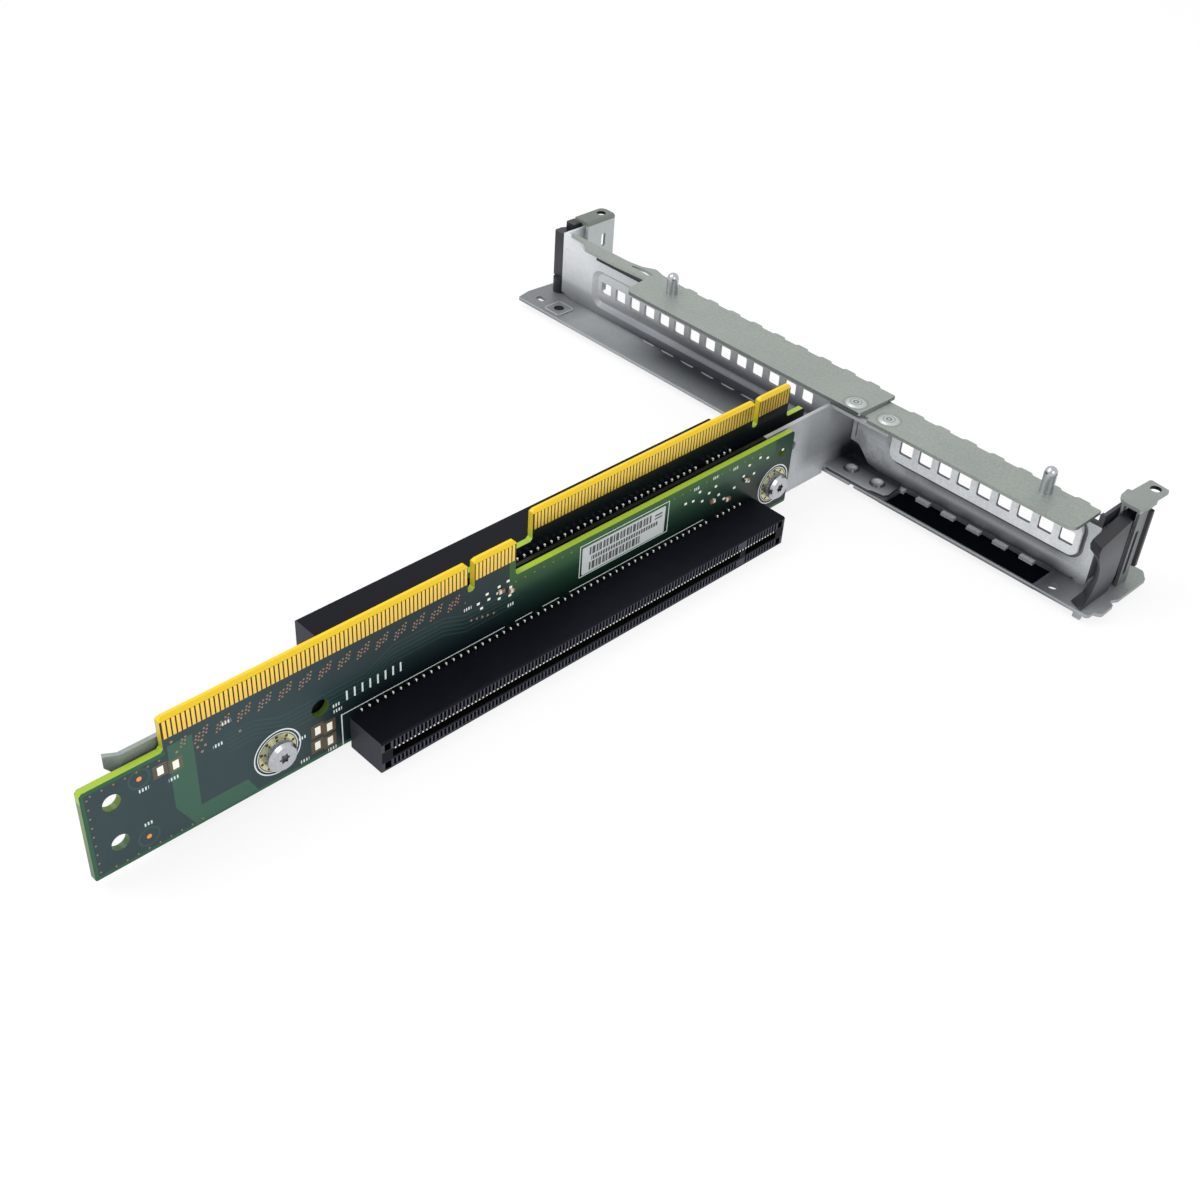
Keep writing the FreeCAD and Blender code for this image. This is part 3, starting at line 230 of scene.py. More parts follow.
# Shader arithmetic
class Wire:
    """A node socket that takes part in Python arithmetic."""

    def __init__(self, sheet, socket):
        self.sheet = sheet
        self.socket = socket

    def maths(self, operation, *others, clamp=False):
        """A Math node on this socket and others."""
        return self.sheet.maths(operation, self, *others, clamp=clamp)

    def __add__(self, other):
        return self.maths("ADD", other)

    def __radd__(self, other):
        return self.sheet.maths("ADD", other, self)

    def __sub__(self, other):
        return self.maths("SUBTRACT", other)

    def __rsub__(self, other):
        return self.sheet.maths("SUBTRACT", other, self)

    def __mul__(self, other):
        return self.maths("MULTIPLY", other)

    def __rmul__(self, other):
        return self.sheet.maths("MULTIPLY", other, self)

    def __truediv__(self, other):
        return self.maths("DIVIDE", other)

    def __rtruediv__(self, other):
        return self.sheet.maths("DIVIDE", other, self)

    def __gt__(self, other):
        return self.maths("GREATER_THAN", other)

    def __lt__(self, other):
        return self.maths("LESS_THAN", other)

    def __abs__(self):
        return self.maths("ABSOLUTE")

    def fract(self):
        """What is left after the whole number below."""
        return self.maths("FRACT")

    def most(self, other):
        """The larger of two values."""
        return self.maths("MAXIMUM", other)

    def clamped(self):
        """The value, kept between 0 and 1."""
        return self.maths("ADD", 0.0, clamp=True)


class Sheet:
    """The node sheet of one material."""

    def __init__(self, name):
        self.material = bpy.data.materials.new(name)
        self.material.use_nodes = True
        self.tree = self.material.node_tree
        self.tree.nodes.clear()
        self.output = self.tree.nodes.new("ShaderNodeOutputMaterial")
        where = self.node("ShaderNodeTexCoord")
        self.place = where.outputs["Object"]
        parts = self.node("ShaderNodeSeparateXYZ", inputs={"Vector": self.place})
        self.x = Wire(self, parts.outputs["X"]) * MM_PER_METRE - ORIGIN.x
        self.y = Wire(self, parts.outputs["Y"]) * MM_PER_METRE - ORIGIN.y
        self.z = Wire(self, parts.outputs["Z"]) * MM_PER_METRE

    def feed(self, socket, value):
        """Links a socket to another one, or sets its value."""
        if isinstance(value, Wire):
            value = value.socket
        if isinstance(value, bpy.types.NodeSocket):
            self.tree.links.new(value, socket)
        else:
            socket.default_value = value

    def node(self, kind, settings=None, stops=None, inputs=None):
        """Any node: its settings and ramp stops are set first, then its sockets."""
        made = self.tree.nodes.new(kind)
        for name, value in (settings or {}).items():
            setattr(made, name, value)
        if stops:
            ramp = made.color_ramp
            while len(ramp.elements) < len(stops):
                ramp.elements.new(0.5)
            for element, (place, colour) in zip(ramp.elements, stops):
                element.position = place
                element.color = colour
        for name, value in (inputs or {}).items():
            self.feed(made.inputs[name], value)
        return made

    def maths(self, operation, *values, clamp=False):
        """A Math node on sockets and numbers."""
        made = self.node("ShaderNodeMath", {"operation": operation, "use_clamp": clamp})
        for socket, value in zip(made.inputs, values):
            self.feed(socket, value)
        return Wire(self, made.outputs[0])

    def mix(self, share, under, over):
        """Colour that goes from under to over as share goes from 0 to 1."""
        made = self.node("ShaderNodeMix", {"data_type": "RGBA"})
        self.feed(made.inputs[MIX_SHARE], share)
        self.feed(made.inputs[MIX_UNDER], under)
        self.feed(made.inputs[MIX_OVER], over)
        return Wire(self, made.outputs[MIX_RESULT])

    def tint(self, colour, factor):
        """Colour multiplied by a number that varies over the surface."""
        made = self.node("ShaderNodeVectorMath", {"operation": "SCALE"})
        self.feed(made.inputs[0], colour if isinstance(colour, Wire) else colour[:3])
        self.feed(made.inputs["Scale"], factor)
        return Wire(self, made.outputs[0])

    def noise(self, scale, detail=2.0, stretch=(1, 1, 1)):
        """Cloudy value from 0 to 1, with scale in patches per metre."""
        spread = self.node("ShaderNodeMapping", inputs={"Vector": self.place, "Scale": stretch})
        made = self.node("ShaderNodeTexNoise", inputs={
            "Vector": spread.outputs[0], "Scale": scale, "Detail": detail})
        return Wire(self, made.outputs["Fac"])

    def cells(self, scale):
        """Patches with a value each, from 0 to 1."""
        made = self.node("ShaderNodeTexVoronoi", inputs={"Vector": self.place, "Scale": scale})
        parts = self.node("ShaderNodeSeparateXYZ", inputs={"Vector": made.outputs["Color"]})
        return Wire(self, parts.outputs["X"])

    def between(self, value, low, high):
        """1 where a value lies between two limits and 0 elsewhere."""
        return (value > low) * (value < high)

    def patch(self, y0, y1, z0, z1):
        """1 inside a rectangle of the board's face and 0 outside."""
        return self.between(self.y, y0, y1) * self.between(self.z, z0, z1)

    def distance(self, y, z):
        """Distance from a place on the board's face."""
        dy = self.y - y
        dz = self.z - z
        return self.maths("SQRT", dy * dy + dz * dz)

    def around(self, x, y):
        """Distance from an upright line through a place of the top view."""
        dx = self.x - x
        dy = self.y - y
        return self.maths("SQRT", dx * dx + dy * dy)

    def graded(self, value, stops):
        """Grey that changes along a coordinate: each stop has a place in millimetres and a level."""
        low, high = stops[0][0], stops[-1][0]
        share = self.ramp(value, low, high)
        steps = [((place - low) / (high - low), grey(level)) for place, level in stops]
        made = self.node("ShaderNodeValToRGB", stops=steps, inputs={"Fac": share})
        return Wire(self, made.outputs["Color"])

    def outside(self, x0, x1, z0, z1, radius):
        """Distance outward from a rounded rectangle in the front view, negative inside."""
        dx = (abs(self.x - (x0 + x1) / 2) - ((x1 - x0) / 2 - radius)).most(0.0)
        dz = (abs(self.z - (z0 + z1) / 2) - ((z1 - z0) / 2 - radius)).most(0.0)
        return self.maths("SQRT", dx * dx + dz * dz) - radius

    def dots(self, along, pitch, across, radius):
        """Row of dots: along is the coordinate in millimetres, across the distance from the row."""
        step = ((along / pitch).fract() - 0.5) * pitch
        return self.maths("SQRT", step * step + across * across) < radius

    def ramp(self, value, low, high):
        """Rises from 0 at low to 1 at high."""
        return self.maths("DIVIDE", value - low, high - low, clamp=True)

    def bump(self, height, depth):
        """Normal of a surface raised by height, where depth is in metres."""
        made = self.node("ShaderNodeBump", inputs={"Strength": 1.0, "Distance": depth, "Height": height})
        return made.outputs["Normal"]

    def finish(self, colour, metallic=0.0, roughness=0.5, normal=None, coat=0.0, specular=0.5):
        """Closes the sheet with one surface shader and returns its material."""
        shader = self.node("ShaderNodeBsdfPrincipled", inputs={
            "Base Color": colour, "Metallic": metallic, "Roughness": roughness,
            "Coat Weight": coat, "Specular IOR Level": specular})
        if normal is not None:
            self.feed(shader.inputs["Normal"], normal)
        self.feed(self.output.inputs["Surface"], shader.outputs[0])
        return self.material


def dress(material, *names):
    """Gives a material to CAD nodes."""
    for name in names:
        if name not in NODES:
            raise RuntimeError("the packed model has no node " + name)
        slots = NODES[name].data.materials
        slots.clear()
        slots.append(material)


def colours():
    """The colours that a user would change."""
    return bpy.context.scene.riser_colours


def sizes():
    """The sizes and light powers that a user would change."""
    return bpy.context.scene.riser_sizes


# Finishes
def sheet_steel(s, base, metallic=0.6, grain=0.1):
    """Zinc-plated sheet in a given grey: fine grain, crystal patches, rolling lines and smudges."""
    fine = s.noise(1500, 3.0)
    cloud = s.noise(70, 3.0)
    rolled = s.noise(1100, 2.0, (0.08, 1, 1))
    shade = 0.88 - grain + fine * grain * 2 + cloud * 0.2 + rolled * 0.06 + s.cells(420) * 0.03
    tinted = s.node("ShaderNodeVectorMath", {"operation": "MULTIPLY"})
    s.feed(tinted.inputs[0], base)
    s.feed(tinted.inputs[1], tuple(colours().steel)[:3])
    rough = 0.36 + cloud * 0.16 + fine * 0.06
    colour = s.tint(Wire(s, tinted.outputs[0]), shade)
    return s.finish(colour, metallic=metallic, roughness=rough, normal=s.bump(fine + rolled, STEEL_GRAIN))


def top_plate_steel():
    """Upper plates: olive grey, with a pressed ring around each rivet and painted shade on the front and outer
    edge faces.
    """
    s = Sheet("top plate steel")
    base = s.mix(s.noise(24, 2.0), paint(149, 155, 147), paint(162, 167, 160))
    for x, y in TOP_RIVET_PLACES:
        gap = s.around(x, y)
        base = s.mix(s.between(gap, *RIVET_RIM_RING) * 0.6, base, paint(124, 130, 124))
    low, high = corners_mm("left_top_plate")
    # Painted shade on the front and outer edge faces of the plates
    front = (s.y < low.y + 0.12).most(abs(s.x - high.x) < 0.12)
    base = s.mix(front, base, paint(108, 113, 111))
    return sheet_steel(s, base, metallic=0.85, grain=0.22)


def rivet_steel():
    """Pressed rivets: a pale ring, a darker trough and a small star mark in the middle."""
    s = Sheet("rivet steel")
    base = paint(186, 191, 186)
    for x, y in TOP_RIVET_PLACES:
        gap = s.around(x, y)
        base = s.mix(s.between(gap, *RIVET_TROUGH), base, paint(136, 141, 138))
        base = s.mix(s.between(gap, *RIVET_MARK), base, paint(110, 114, 116))
    return sheet_steel(s, base, metallic=0.85)


def left_cover_steel():
    """Long cover: painted light and shade, pale at its free end, with its sunk panel darker towards the web.
    """
    s = Sheet("left cover steel")
    # Painted light and shade by height: pale at the free end, darker towards the web
    free = s.graded(s.z, ((3, 116), (5, 134), (7.5, 156), (9, 186), (14, 204), (21, 216)))
    middle = s.graded(s.z, ((3, 66), (4.8, 100), (6.4, 138), (7.4, 122), (8.8, 124), (10.5, 168), (18, 192)))
    inner = s.graded(s.z, ((3, 70), (5.4, 80), (6.1, 140), (6.9, 84), (8, 96), (9.2, 130), (11.5, 168),
                           (18, 182)))
    base = s.mix(s.ramp(s.x, -98, -80), free, middle)
    base = s.mix(s.ramp(s.x, -74, -54), base, inner)
    # Painted shade on the lower wall of the sunk panel
    fold_shade = s.between(s.y, 0.08, 1.12) * (s.z < 10) * s.ramp(s.x, -97, -84)
    base = s.mix(fold_shade * 0.6, base, grey(104))
    # Painted shade on the vent walls
    vent_walls = (s.y > 1.24) * (s.y < 2.05) * s.between(s.z, 10.4, 17.4)
    base = s.mix(vent_walls, base, grey(150))
    # Painted shade along the top, below the top plate
    base = s.mix((s.z > 19.7) * (s.x > -97.5), base, grey(46))
    return sheet_steel(s, base, metallic=0.4, grain=0.14)


def right_cover_steel():
    """Short cover: pale raised panel with painted light, dark folds around it with painted shade, and a foot
    that falls into shade.
    """
    s = Sheet("right cover steel")
    # Painted light and shade by height on the flat part: dark at the foot, pale above
    flat = s.graded(s.z, ((3, 84), (4.5, 140), (5.5, 184), (7, 214), (12, 210), (14, 186), (18, 196)))
    blotch = s.noise(190, 3.0)
    flat = s.mix(s.ramp(blotch, 0.5, 0.62) * 0.4, flat, grey(116))
    # Painted shade in the band under the raised panel, with a lighter strip of painted light in it
    band = s.graded(s.z, ((3, 44), (4.2, 100), (5.2, 130), (6.3, 180), (7.4, 146), (8.6, 112), (11, 150)))
    base = s.mix(s.ramp(s.x, 11, 27), flat, band)
    # Painted light and shade by height on the right end
    base = s.mix(s.ramp(s.x, 64, 72), base, s.graded(s.z, ((3, 130), (5.5, 214), (9, 230), (20, 214))))
    # Painted shade along the top, below the top plate
    base = s.mix(s.z > 19.6, base, grey(60))
    rim = s.outside(*RIGHT_PANEL, RIGHT_PANEL_CORNER_R)
    # Painted light on the raised panel
    base = s.mix(rim < 0.1, base, s.mix(s.ramp(blotch, 0.4, 0.66) * 0.2, grey(242), grey(190)))
    # Painted shade in the fold around the panel
    base = s.mix(s.between(rim, 0.1, 0.85) * s.graded(s.x, ((11, 250), (30, 232))), base, grey(66))
    vent_walls = (s.y > -2.55) * (s.y < -1.72) * (rim < -1)
    # Painted shade on the vent walls
    base = s.mix(vent_walls, base, grey(96))
    return sheet_steel(s, base, metallic=0.2, grain=0.2)


def base_steel():
    """Crossbar base: pale in the open, with painted shade where the covers, the web and the slot stand over
    it.
    """
    s = Sheet("base steel")
    middle = s.graded(s.y, ((-11.6, 152), (-9, 156), (-5, 170), (-2, 184), (1.5, 156)))
    near = s.graded(s.y, ((-11.4, 150), (-8.7, 138), (-6, 120), (-3, 92), (-1, 80), (1.5, 96)))
    base = s.mix(s.ramp(s.x, -96, -104), middle, grey(128))
    base = s.mix(s.ramp(s.x, -80, -66), base, near)
    right = s.graded(s.x, ((60, 110), (66, 84), (71, 120), (78, 160)))
    base = s.mix(s.ramp(s.x, 10, 16), base, right)
    wings = s.ramp(s.y, 2.0, 5.0)
    base = s.mix(wings, base, paint(146, 152, 146))
    tabs = s.between(s.x, 16.4, 60.4) * s.between(s.y, -3.6, -2.1)
    base = s.mix(tabs, base, grey(214))
    # Painted highlight along the front edge face
    rim = s.between(s.y, -13.0, -11.0) * s.between(s.z, 2.55, 2.95)
    base = s.mix(rim * 0.7, base, grey(176))
    along = ((s.x - SLIT_FIRST_X) / SLIT_PITCH).fract() * SLIT_PITCH
    slits = (along < SLIT_LENGTH) * s.between(s.y, -0.93, -0.08) * s.between(s.x, SLIT_FIRST_X - 0.1, -1.0)
    base = s.mix(slits * (s.z > 2.55), base, grey(205))
    x, y = BASE_HOLE
    square = abs(s.x - x).most(abs(s.y - y))
    pad_rim = s.between(square, BASE_HOLE_PAD / 2 - 0.28, BASE_HOLE_PAD / 2 + 0.05) * (s.z > 2.92)
    base = s.mix(pad_rim * 0.8, base, grey(200))
    # Painted shade inside the hole
    base = s.mix(s.around(x, y) < BASE_HOLE_R, base, grey(54))
    return sheet_steel(s, base, grain=0.14)


def web_steel():
    """Web plate: lilac grey with painted light and shade by height, painted shade in the corner above its
    feet, on its feet and between the boards, and pale at its free tail.
    """
    s = Sheet("web steel")
    base = s.graded(s.z, ((1, 186), (5, 188), (9, 152), (14, 156), (18, 166), (22, 170)))
    base = s.mix(s.ramp(s.y, -19, -24), base, grey(190))
    corner = s.ramp(s.y, -13, -4) * s.ramp(s.z, 14.5, 6)
    base = s.mix(corner, base, grey(40))
    # Painted shade on the feet
    feet = s.between(s.x, 1.2, 40) * (s.z < 3.6)
    base = s.mix(feet, base, grey(62))
    # Painted shade: nearly black where the web stands between the boards
    base = s.mix(s.between(s.y, -200, -37), base, paint(16, 20, 18))
    base = s.mix(s.ramp(s.y, -200, -206), base, paint(134, 140, 134))
    return sheet_steel(s, base, metallic=0.25, grain=0.12)


def end_plate_steel():
    """End brackets and spacers: grey, darker low down and on the tabs, with painted shade inside the tab
    holes.
    """
    s = Sheet("end plate steel")
    base = s.mix(s.noise(60, 2.0), paint(170, 176, 174), paint(190, 194, 192))
    base = s.mix(s.ramp(s.z, 12, 5) * 0.5, base, grey(120))
    tab = s.mix(s.x > 0, paint(118, 124, 117), paint(146, 151, 145))
    base = s.mix(s.z > 24.4, base, tab)
    strap = (s.x > 77.9) * (s.z < 24.0)
    base = s.mix(strap, base, grey(120))
    # Painted shade inside the tab holes
    for x, y in TAB_HOLES:
        base = s.mix(s.around(x, y) < TAB_HOLE_R + 0.02, base, grey(34))
    return sheet_steel(s, base, metallic=0.7)


def bright_steel(name, low, high):
    """Turned or plated small parts with fine rings."""
    s = Sheet(name)
    turned = s.noise(1500, 2.0)
    rings = s.noise(2600, 1.0, (0.1, 0.1, 1))
    base = s.tint(tuple(colours().bright), low + turned * (high - low) + rings * 0.1)
    return s.finish(base, metallic=1.0, roughness=0.16 + turned * 0.14)


def foot_rivet_steel():
    """Domed rivets: dark sides under a small bright top that carries a painted highlight."""
    s = Sheet("foot rivet steel")
    high = corners_mm("foot_rivets")[1]
    # Painted highlight: the top of each dome is bright
    rise = s.ramp(s.z, high.z - 0.5, high.z - 0.1)
    base = s.mix(rise, paint(74, 77, 84), paint(226, 228, 233))
    return s.finish(s.tint(base, 0.85 + s.noise(1800, 2.0) * 0.3), metallic=0.6, roughness=0.22)


def latch_plastic():
    """Moulded plastic with a fine grain, greyer on its sides from painted sheen."""
    s = Sheet("latch plastic")
    fine = s.noise(2400, 2.0)
    wear = s.noise(150, 3.0)
    # Painted sheen greys the sides below the top, more on the latch at +X and less beyond the strap
    wear_and_sheen = s.mix(s.x > 0, paint(36, 38, 45), paint(66, 68, 76))
    wear_and_sheen = s.mix(s.x > 78.3, wear_and_sheen, paint(20, 21, 28))
    base = s.mix(s.ramp(s.z, 20.5, 14), tuple(colours().moulding), wear_and_sheen)
    base = s.mix(s.ramp(s.z, 8, 3), base, paint(24, 24, 31))
    return s.finish(s.tint(base, 0.75 + wear * 0.5), roughness=0.34 + wear * 0.12,
                    normal=s.bump(fine, PLASTIC_GRAIN))


def slot_plastic(name, node, outward):
    """Card slot: black housing, greyer ribs around its mouth and no light in its cells."""
    s = Sheet(name)
    low, high = corners_mm(node)
    mouth = high.x if outward > 0 else low.x
    middle = (low.z + high.z) / 2
    depth = (mouth - s.x) * outward
    off = abs(s.z - middle)
    wear = s.noise(160, 3.0)
    # Painted light on the end face, which catches more light than the rest of the housing
    end = s.y < low.y + SKIN
    base = s.mix(end, tuple(colours().moulding), paint(62, 63, 72))
    ribs = s.between(off, 1.45, 3.45) * (depth < 0.12)
    base = s.mix(ribs, base, paint(68, 69, 80))
    tips = s.dots(s.y - low.y, CONTACT_PITCH, s.z - middle - 1.18, 0.2) * s.between(s.y, low.y + 3, high.y - 3)
    base = s.mix(tips * (depth < 0.1), base, paint(240, 236, 226))
    inner = s.between(s.y, low.y + 0.5, high.y - 0.5) * (off < 3.6) * (depth > 0.14)
    base = s.mix(inner, base, paint(3, 3, 5))
    return s.finish(s.tint(base, 0.8 + wear * 0.4), roughness=0.45 + wear * 0.1 + inner * 0.4,
                    normal=s.bump(s.noise(2400, 2.0), PLASTIC_GRAIN), specular=0.09)


def gold_plate():
    """Gold contacts, a little darker towards the board."""
    s = Sheet("gold plate")
    low, high = corners_mm("front_gold_fingers")
    rise = s.ramp(s.z, low.z, high.z)
    wear_and_sheen = s.noise(700, 2.0)
    base = s.mix(rise, paint(244, 200, 90), tuple(colours().gold))
    return s.finish(s.tint(base, 0.9 + wear_and_sheen * 0.16), metallic=0.75, roughness=0.24 + wear_and_sheen * 0.12)


def tinned():
    """Bright solder with a faint mottle."""
    s = Sheet("tinned solder")
    blot = s.noise(1500, 2.0)
    base = s.tint(tuple(colours().solder), 0.9 + blot * 0.14)
    return s.finish(base, metallic=0.1, roughness=0.3 + blot * 0.14)


def base_film():
    """Dull black film with a little dust."""
    s = Sheet("black film")
    dust = s.noise(900, 3.0)
    return s.finish(s.tint(paint(7, 8, 13), 0.8 + dust * 0.5), roughness=0.8, specular=0.0)


def chip_ceramic():
    """Small brown parts with pale soldered ends."""
    s = Sheet("chip ceramic")
    speck = s.noise(1800, 2.0)
    ends = abs((s.y / 1.6).fract() - 0.5) > 0.28
    base = s.mix(speck, paint(150, 112, 84), paint(96, 74, 60))
    return s.finish(s.mix(ends, base, paint(214, 208, 196)), roughness=0.45)


def label_paper():
    """Pale printed label with plain bars in two rows and a row of short marks between them."""
    s = Sheet("label paper")
    low, high = corners_mm("board_label")
    y0, y1 = low.y, high.y
    z0, z1 = low.z, high.z
    code = ((s.y * 0.95).fract() > 0.52) + ((s.y * 1.5).fract() > 0.66)
    rows = s.patch(y0 + 2.2, y1 - 4.6, z0 + 4.7, z1 - 0.6) + s.patch(y0 + 2.2, y1 - 8.0, z0 + 0.6, z0 + 2.7)
    bars = code.clamped() * rows
    marks = ((s.y * 1.25).fract() > 0.3) * s.patch(y0 + 2.8, y1 - 2.4, z0 + 3.1, z0 + 4.2)
    ends = ((s.z * 1.1).fract() > 0.5) * s.patch(y1 - 3.4, y1 - 1.0, z0 + 4.9, z1 - 1.0)
    ink = (bars + marks + ends).clamped()
    sheet = s.tint(paint(190, 195, 195), 0.92 + s.noise(90, 2.0) * 0.14)
    return s.finish(s.mix(ink * 0.9, sheet, paint(34, 36, 40)), roughness=0.55)


def edge_strip(s, low):
    """Strip along the lower edge and the free end of a board."""
    return (s.z < low.z + BOARD_EDGE_STRIP).most(s.y < low.y + BOARD_EDGE_STRIP)


def lower_vias(s, low):
    """Row of copper dots along the lower edge."""
    return s.dots(s.y, EDGE_VIA_PITCH, s.z - (low.z + LOWER_VIA_RISE), EDGE_VIA_R)


def upper_vias(s):
    """Row of copper dots along the board, lower than its contacts."""
    return s.dots(s.y, UPPER_VIA_PITCH, s.z - UPPER_VIA_Z, UPPER_VIA_R)


def board_ground(s):
    """Green solder resist: slate at the free end, nearly black above the slot from painted shade, greener
    beyond, and lighter green near the top from painted light.
    """
    ground = s.mix(s.ramp(s.y, -192, -150), paint(42, 62, 66), paint(22, 40, 44))
    ground = s.mix(s.ramp(s.y, -128, -104), ground, paint(20, 58, 38))
    ground = s.mix(s.ramp(s.y, -78, -52), ground, paint(38, 64, 54))
    glow = s.ramp(s.z, 16.5, 22.5) * s.between(s.y, -122, -36)
    ground = s.mix(glow * 0.6, ground, paint(58, 104, 48))
    low_shade = s.ramp(s.z, 18.5, 9.5) * s.ramp(s.y, -176, -160)
    ground = s.mix(low_shade * 0.94, ground, paint(2, 3, 8))
    return s.tint(ground, 0.9 + s.noise(260, 3.0) * 0.2)


def rear_ground(s, low, back):
    """Rear board: painted shade, nearly black, in the gap between the boards, green with tracks on its open
    side.
    """
    cloud = 0.9 + s.noise(260, 3.0) * 0.3
    green = board_tracks(s, s.mix(s.ramp(s.z, 2, 16), paint(24, 52, 46), paint(30, 62, 50)))
    green = s.mix(edge_strip(s, low) * 0.8, green, BARE_GREEN)
    vias = lower_vias(s, low) + upper_vias(s)
    green = s.mix(vias.clamped(), green, COPPER_DOT)
    # Painted shade: the face in the gap between the boards is nearly black
    return s.tint(s.mix(back, paint(10, 15, 18), green), cloud)


def board_tracks(s, ground):
    """Faint copper tracks under the resist, in bundles that step down and run on."""
    step = s.ramp(s.y, -186, -180) * 2.6 - s.ramp(s.y, -160, -153) * 3.4 + s.ramp(s.y, -140, -134) * 2.2
    lane = ((s.z + step) / 1.1).fract()
    lines = s.between(lane, 0.30, 0.62) * s.between(s.z + step, 15.2, 20.8) * s.between(s.y, -192, -121)
    return s.mix(lines * 0.3, ground, paint(46, 84, 78))


def board_bands(s, ground, low):
    """Bare bands without copper: an angled one near the free end and a strip along the edges."""
    upright = s.between(s.y, -204, -198.8) * (s.z < 24.8)
    foot = s.between(s.y + s.z * 0.5, -204, -185.2) * (s.z < 6.8 - (s.y + 198) * 0.02)
    corner = (s.y + s.z * 0.55) > -199.0
    inner = 1 - (s.y > -198.8) * (s.z > 6.6) * ((s.y - s.z * 0.3) > -200.8)
    band = upright.most(foot) * corner * inner * (s.z > low.z + 0.5)
    ground = s.mix(band, ground, paint(54, 92, 76))
    rim = edge_strip(s, low).most(s.between(s.z, 23.1, 24.2) * (s.y < -204.5))
    return s.mix(rim * 0.8, ground, BARE_GREEN)


def board_vias(s, low):
    """Copper dots: rows near the edges and slanting pairs under the contacts."""
    lower = lower_vias(s, low) * s.between(s.y, -219, -197)
    upper = s.dots(s.y, EDGE_VIA_PITCH, s.z - 22.5, EDGE_VIA_R) * (s.y < -205)
    side = s.dots(s.z, EDGE_VIA_PITCH, s.y - (low.y + 1.3), EDGE_VIA_R)
    right = upper_vias(s) * s.between(s.y, -121, -40)
    dots = lower + upper + side + right
    for shift, top in VIA_COLUMNS:
        for step in range(3):
            off_row = s.z - top + step * 0.78
            row = s.dots(s.y + shift + step * 0.2, VIA_GROUP_PITCH, off_row, VIA_GROUP_R)
            dots = dots + row * s.between(s.y, -201.4, -134)
    for y, z in LONE_VIAS:
        dots = dots + (s.distance(y, z) < LONE_VIA_R)
    return dots.clamped()


def screw_pad(s, colour, y, z):
    """Tinned pad with plated holes around a screw, inside two white rings."""
    gap = s.distance(y, z)
    inner, outer = SCREW_PAD_RINGS
    rings = s.between(gap, *inner).most(s.between(gap, *outer))
    colour = s.mix(rings, colour, paint(226, 232, 230))
    pad = gap < SCREW_PAD_R
    turn = s.maths("ARCTAN2", s.z - z, s.y - y) * (SCREW_PAD_HOLES / math.tau)
    arc = (turn.fract() - 0.5) * (math.tau * SCREW_PAD_HOLE_RING_R / SCREW_PAD_HOLES)
    off_ring = gap - SCREW_PAD_HOLE_RING_R
    hole = s.maths("SQRT", arc * arc + off_ring * off_ring) < SCREW_PAD_HOLE_R
    tin = s.mix(s.noise(1100, 2.0), paint(226, 222, 180), paint(176, 172, 128))
    colour = s.mix(pad, colour, tin)
    return s.mix(hole * pad, colour, paint(86, 62, 22)), pad


def white_print(s):
    """White lines round the slot and the label, and plain bars in place of markings."""
    lines = s.patch(-166.3, -166.0, 1.8, 10.2)
    top = s.patch(-166.3, -60.4, 9.9, 10.1)
    breaks = s.between(s.y, -128, -104) * ((s.y / 8).fract() > 0.62)
    lines = lines.most(top * (1 - breaks))
    low, high = corners_mm("board_label")
    outer = s.patch(low.y - 0.7, high.y + 1.3, low.z - 0.5, high.z + 0.8)
    inner = s.patch(low.y - 0.5, high.y + 1.1, low.z - 0.3, high.z + 0.6)
    lines = lines.most(outer * (1 - inner))
    strokes = s.patch(-165.6, -150.6, 13.2, 15.6) * s.between((s.y * 0.52).fract(), 0.30, 0.52)
    lines = lines.most(strokes)
    for y, z in PRINT_MARKS:
        mark = s.patch(y - PRINT_MARK_HALF_LENGTH, y + PRINT_MARK_HALF_LENGTH,
                       z - PRINT_MARK_HALF_HEIGHT, z + PRINT_MARK_HALF_HEIGHT)
        lines = lines.most(mark * ((s.y * 1.55).fract() > 0.5))
    return lines


def front_ground(s, low):
    """Front board from the resist upwards: tracks, bare bands, copper dots, pad frames and print."""
    ground = board_tracks(s, board_ground(s))
    ground = board_bands(s, ground, low)
    for y, z in FIDUCIALS:
        gap = s.distance(y, z)
        ground = s.mix(s.between(gap, *FIDUCIAL_RING) * 0.4, ground, paint(60, 94, 82))
        ground = s.mix(gap < FIDUCIAL_R, ground, paint(232, 150, 70))
    ground = s.mix(board_vias(s, low), ground, COPPER_DOT)
    for y, z in LARGE_PADS:
        pad_frame = s.patch(y - 1.5, y + 1.5, z - 1.6, z + 1.6)
        ground = s.mix(pad_frame * ((s.z * 1.9).fract() > 0.4) * 0.7, ground, paint(124, 96, 62))
    return s.mix(white_print(s), ground, paint(214, 224, 222))


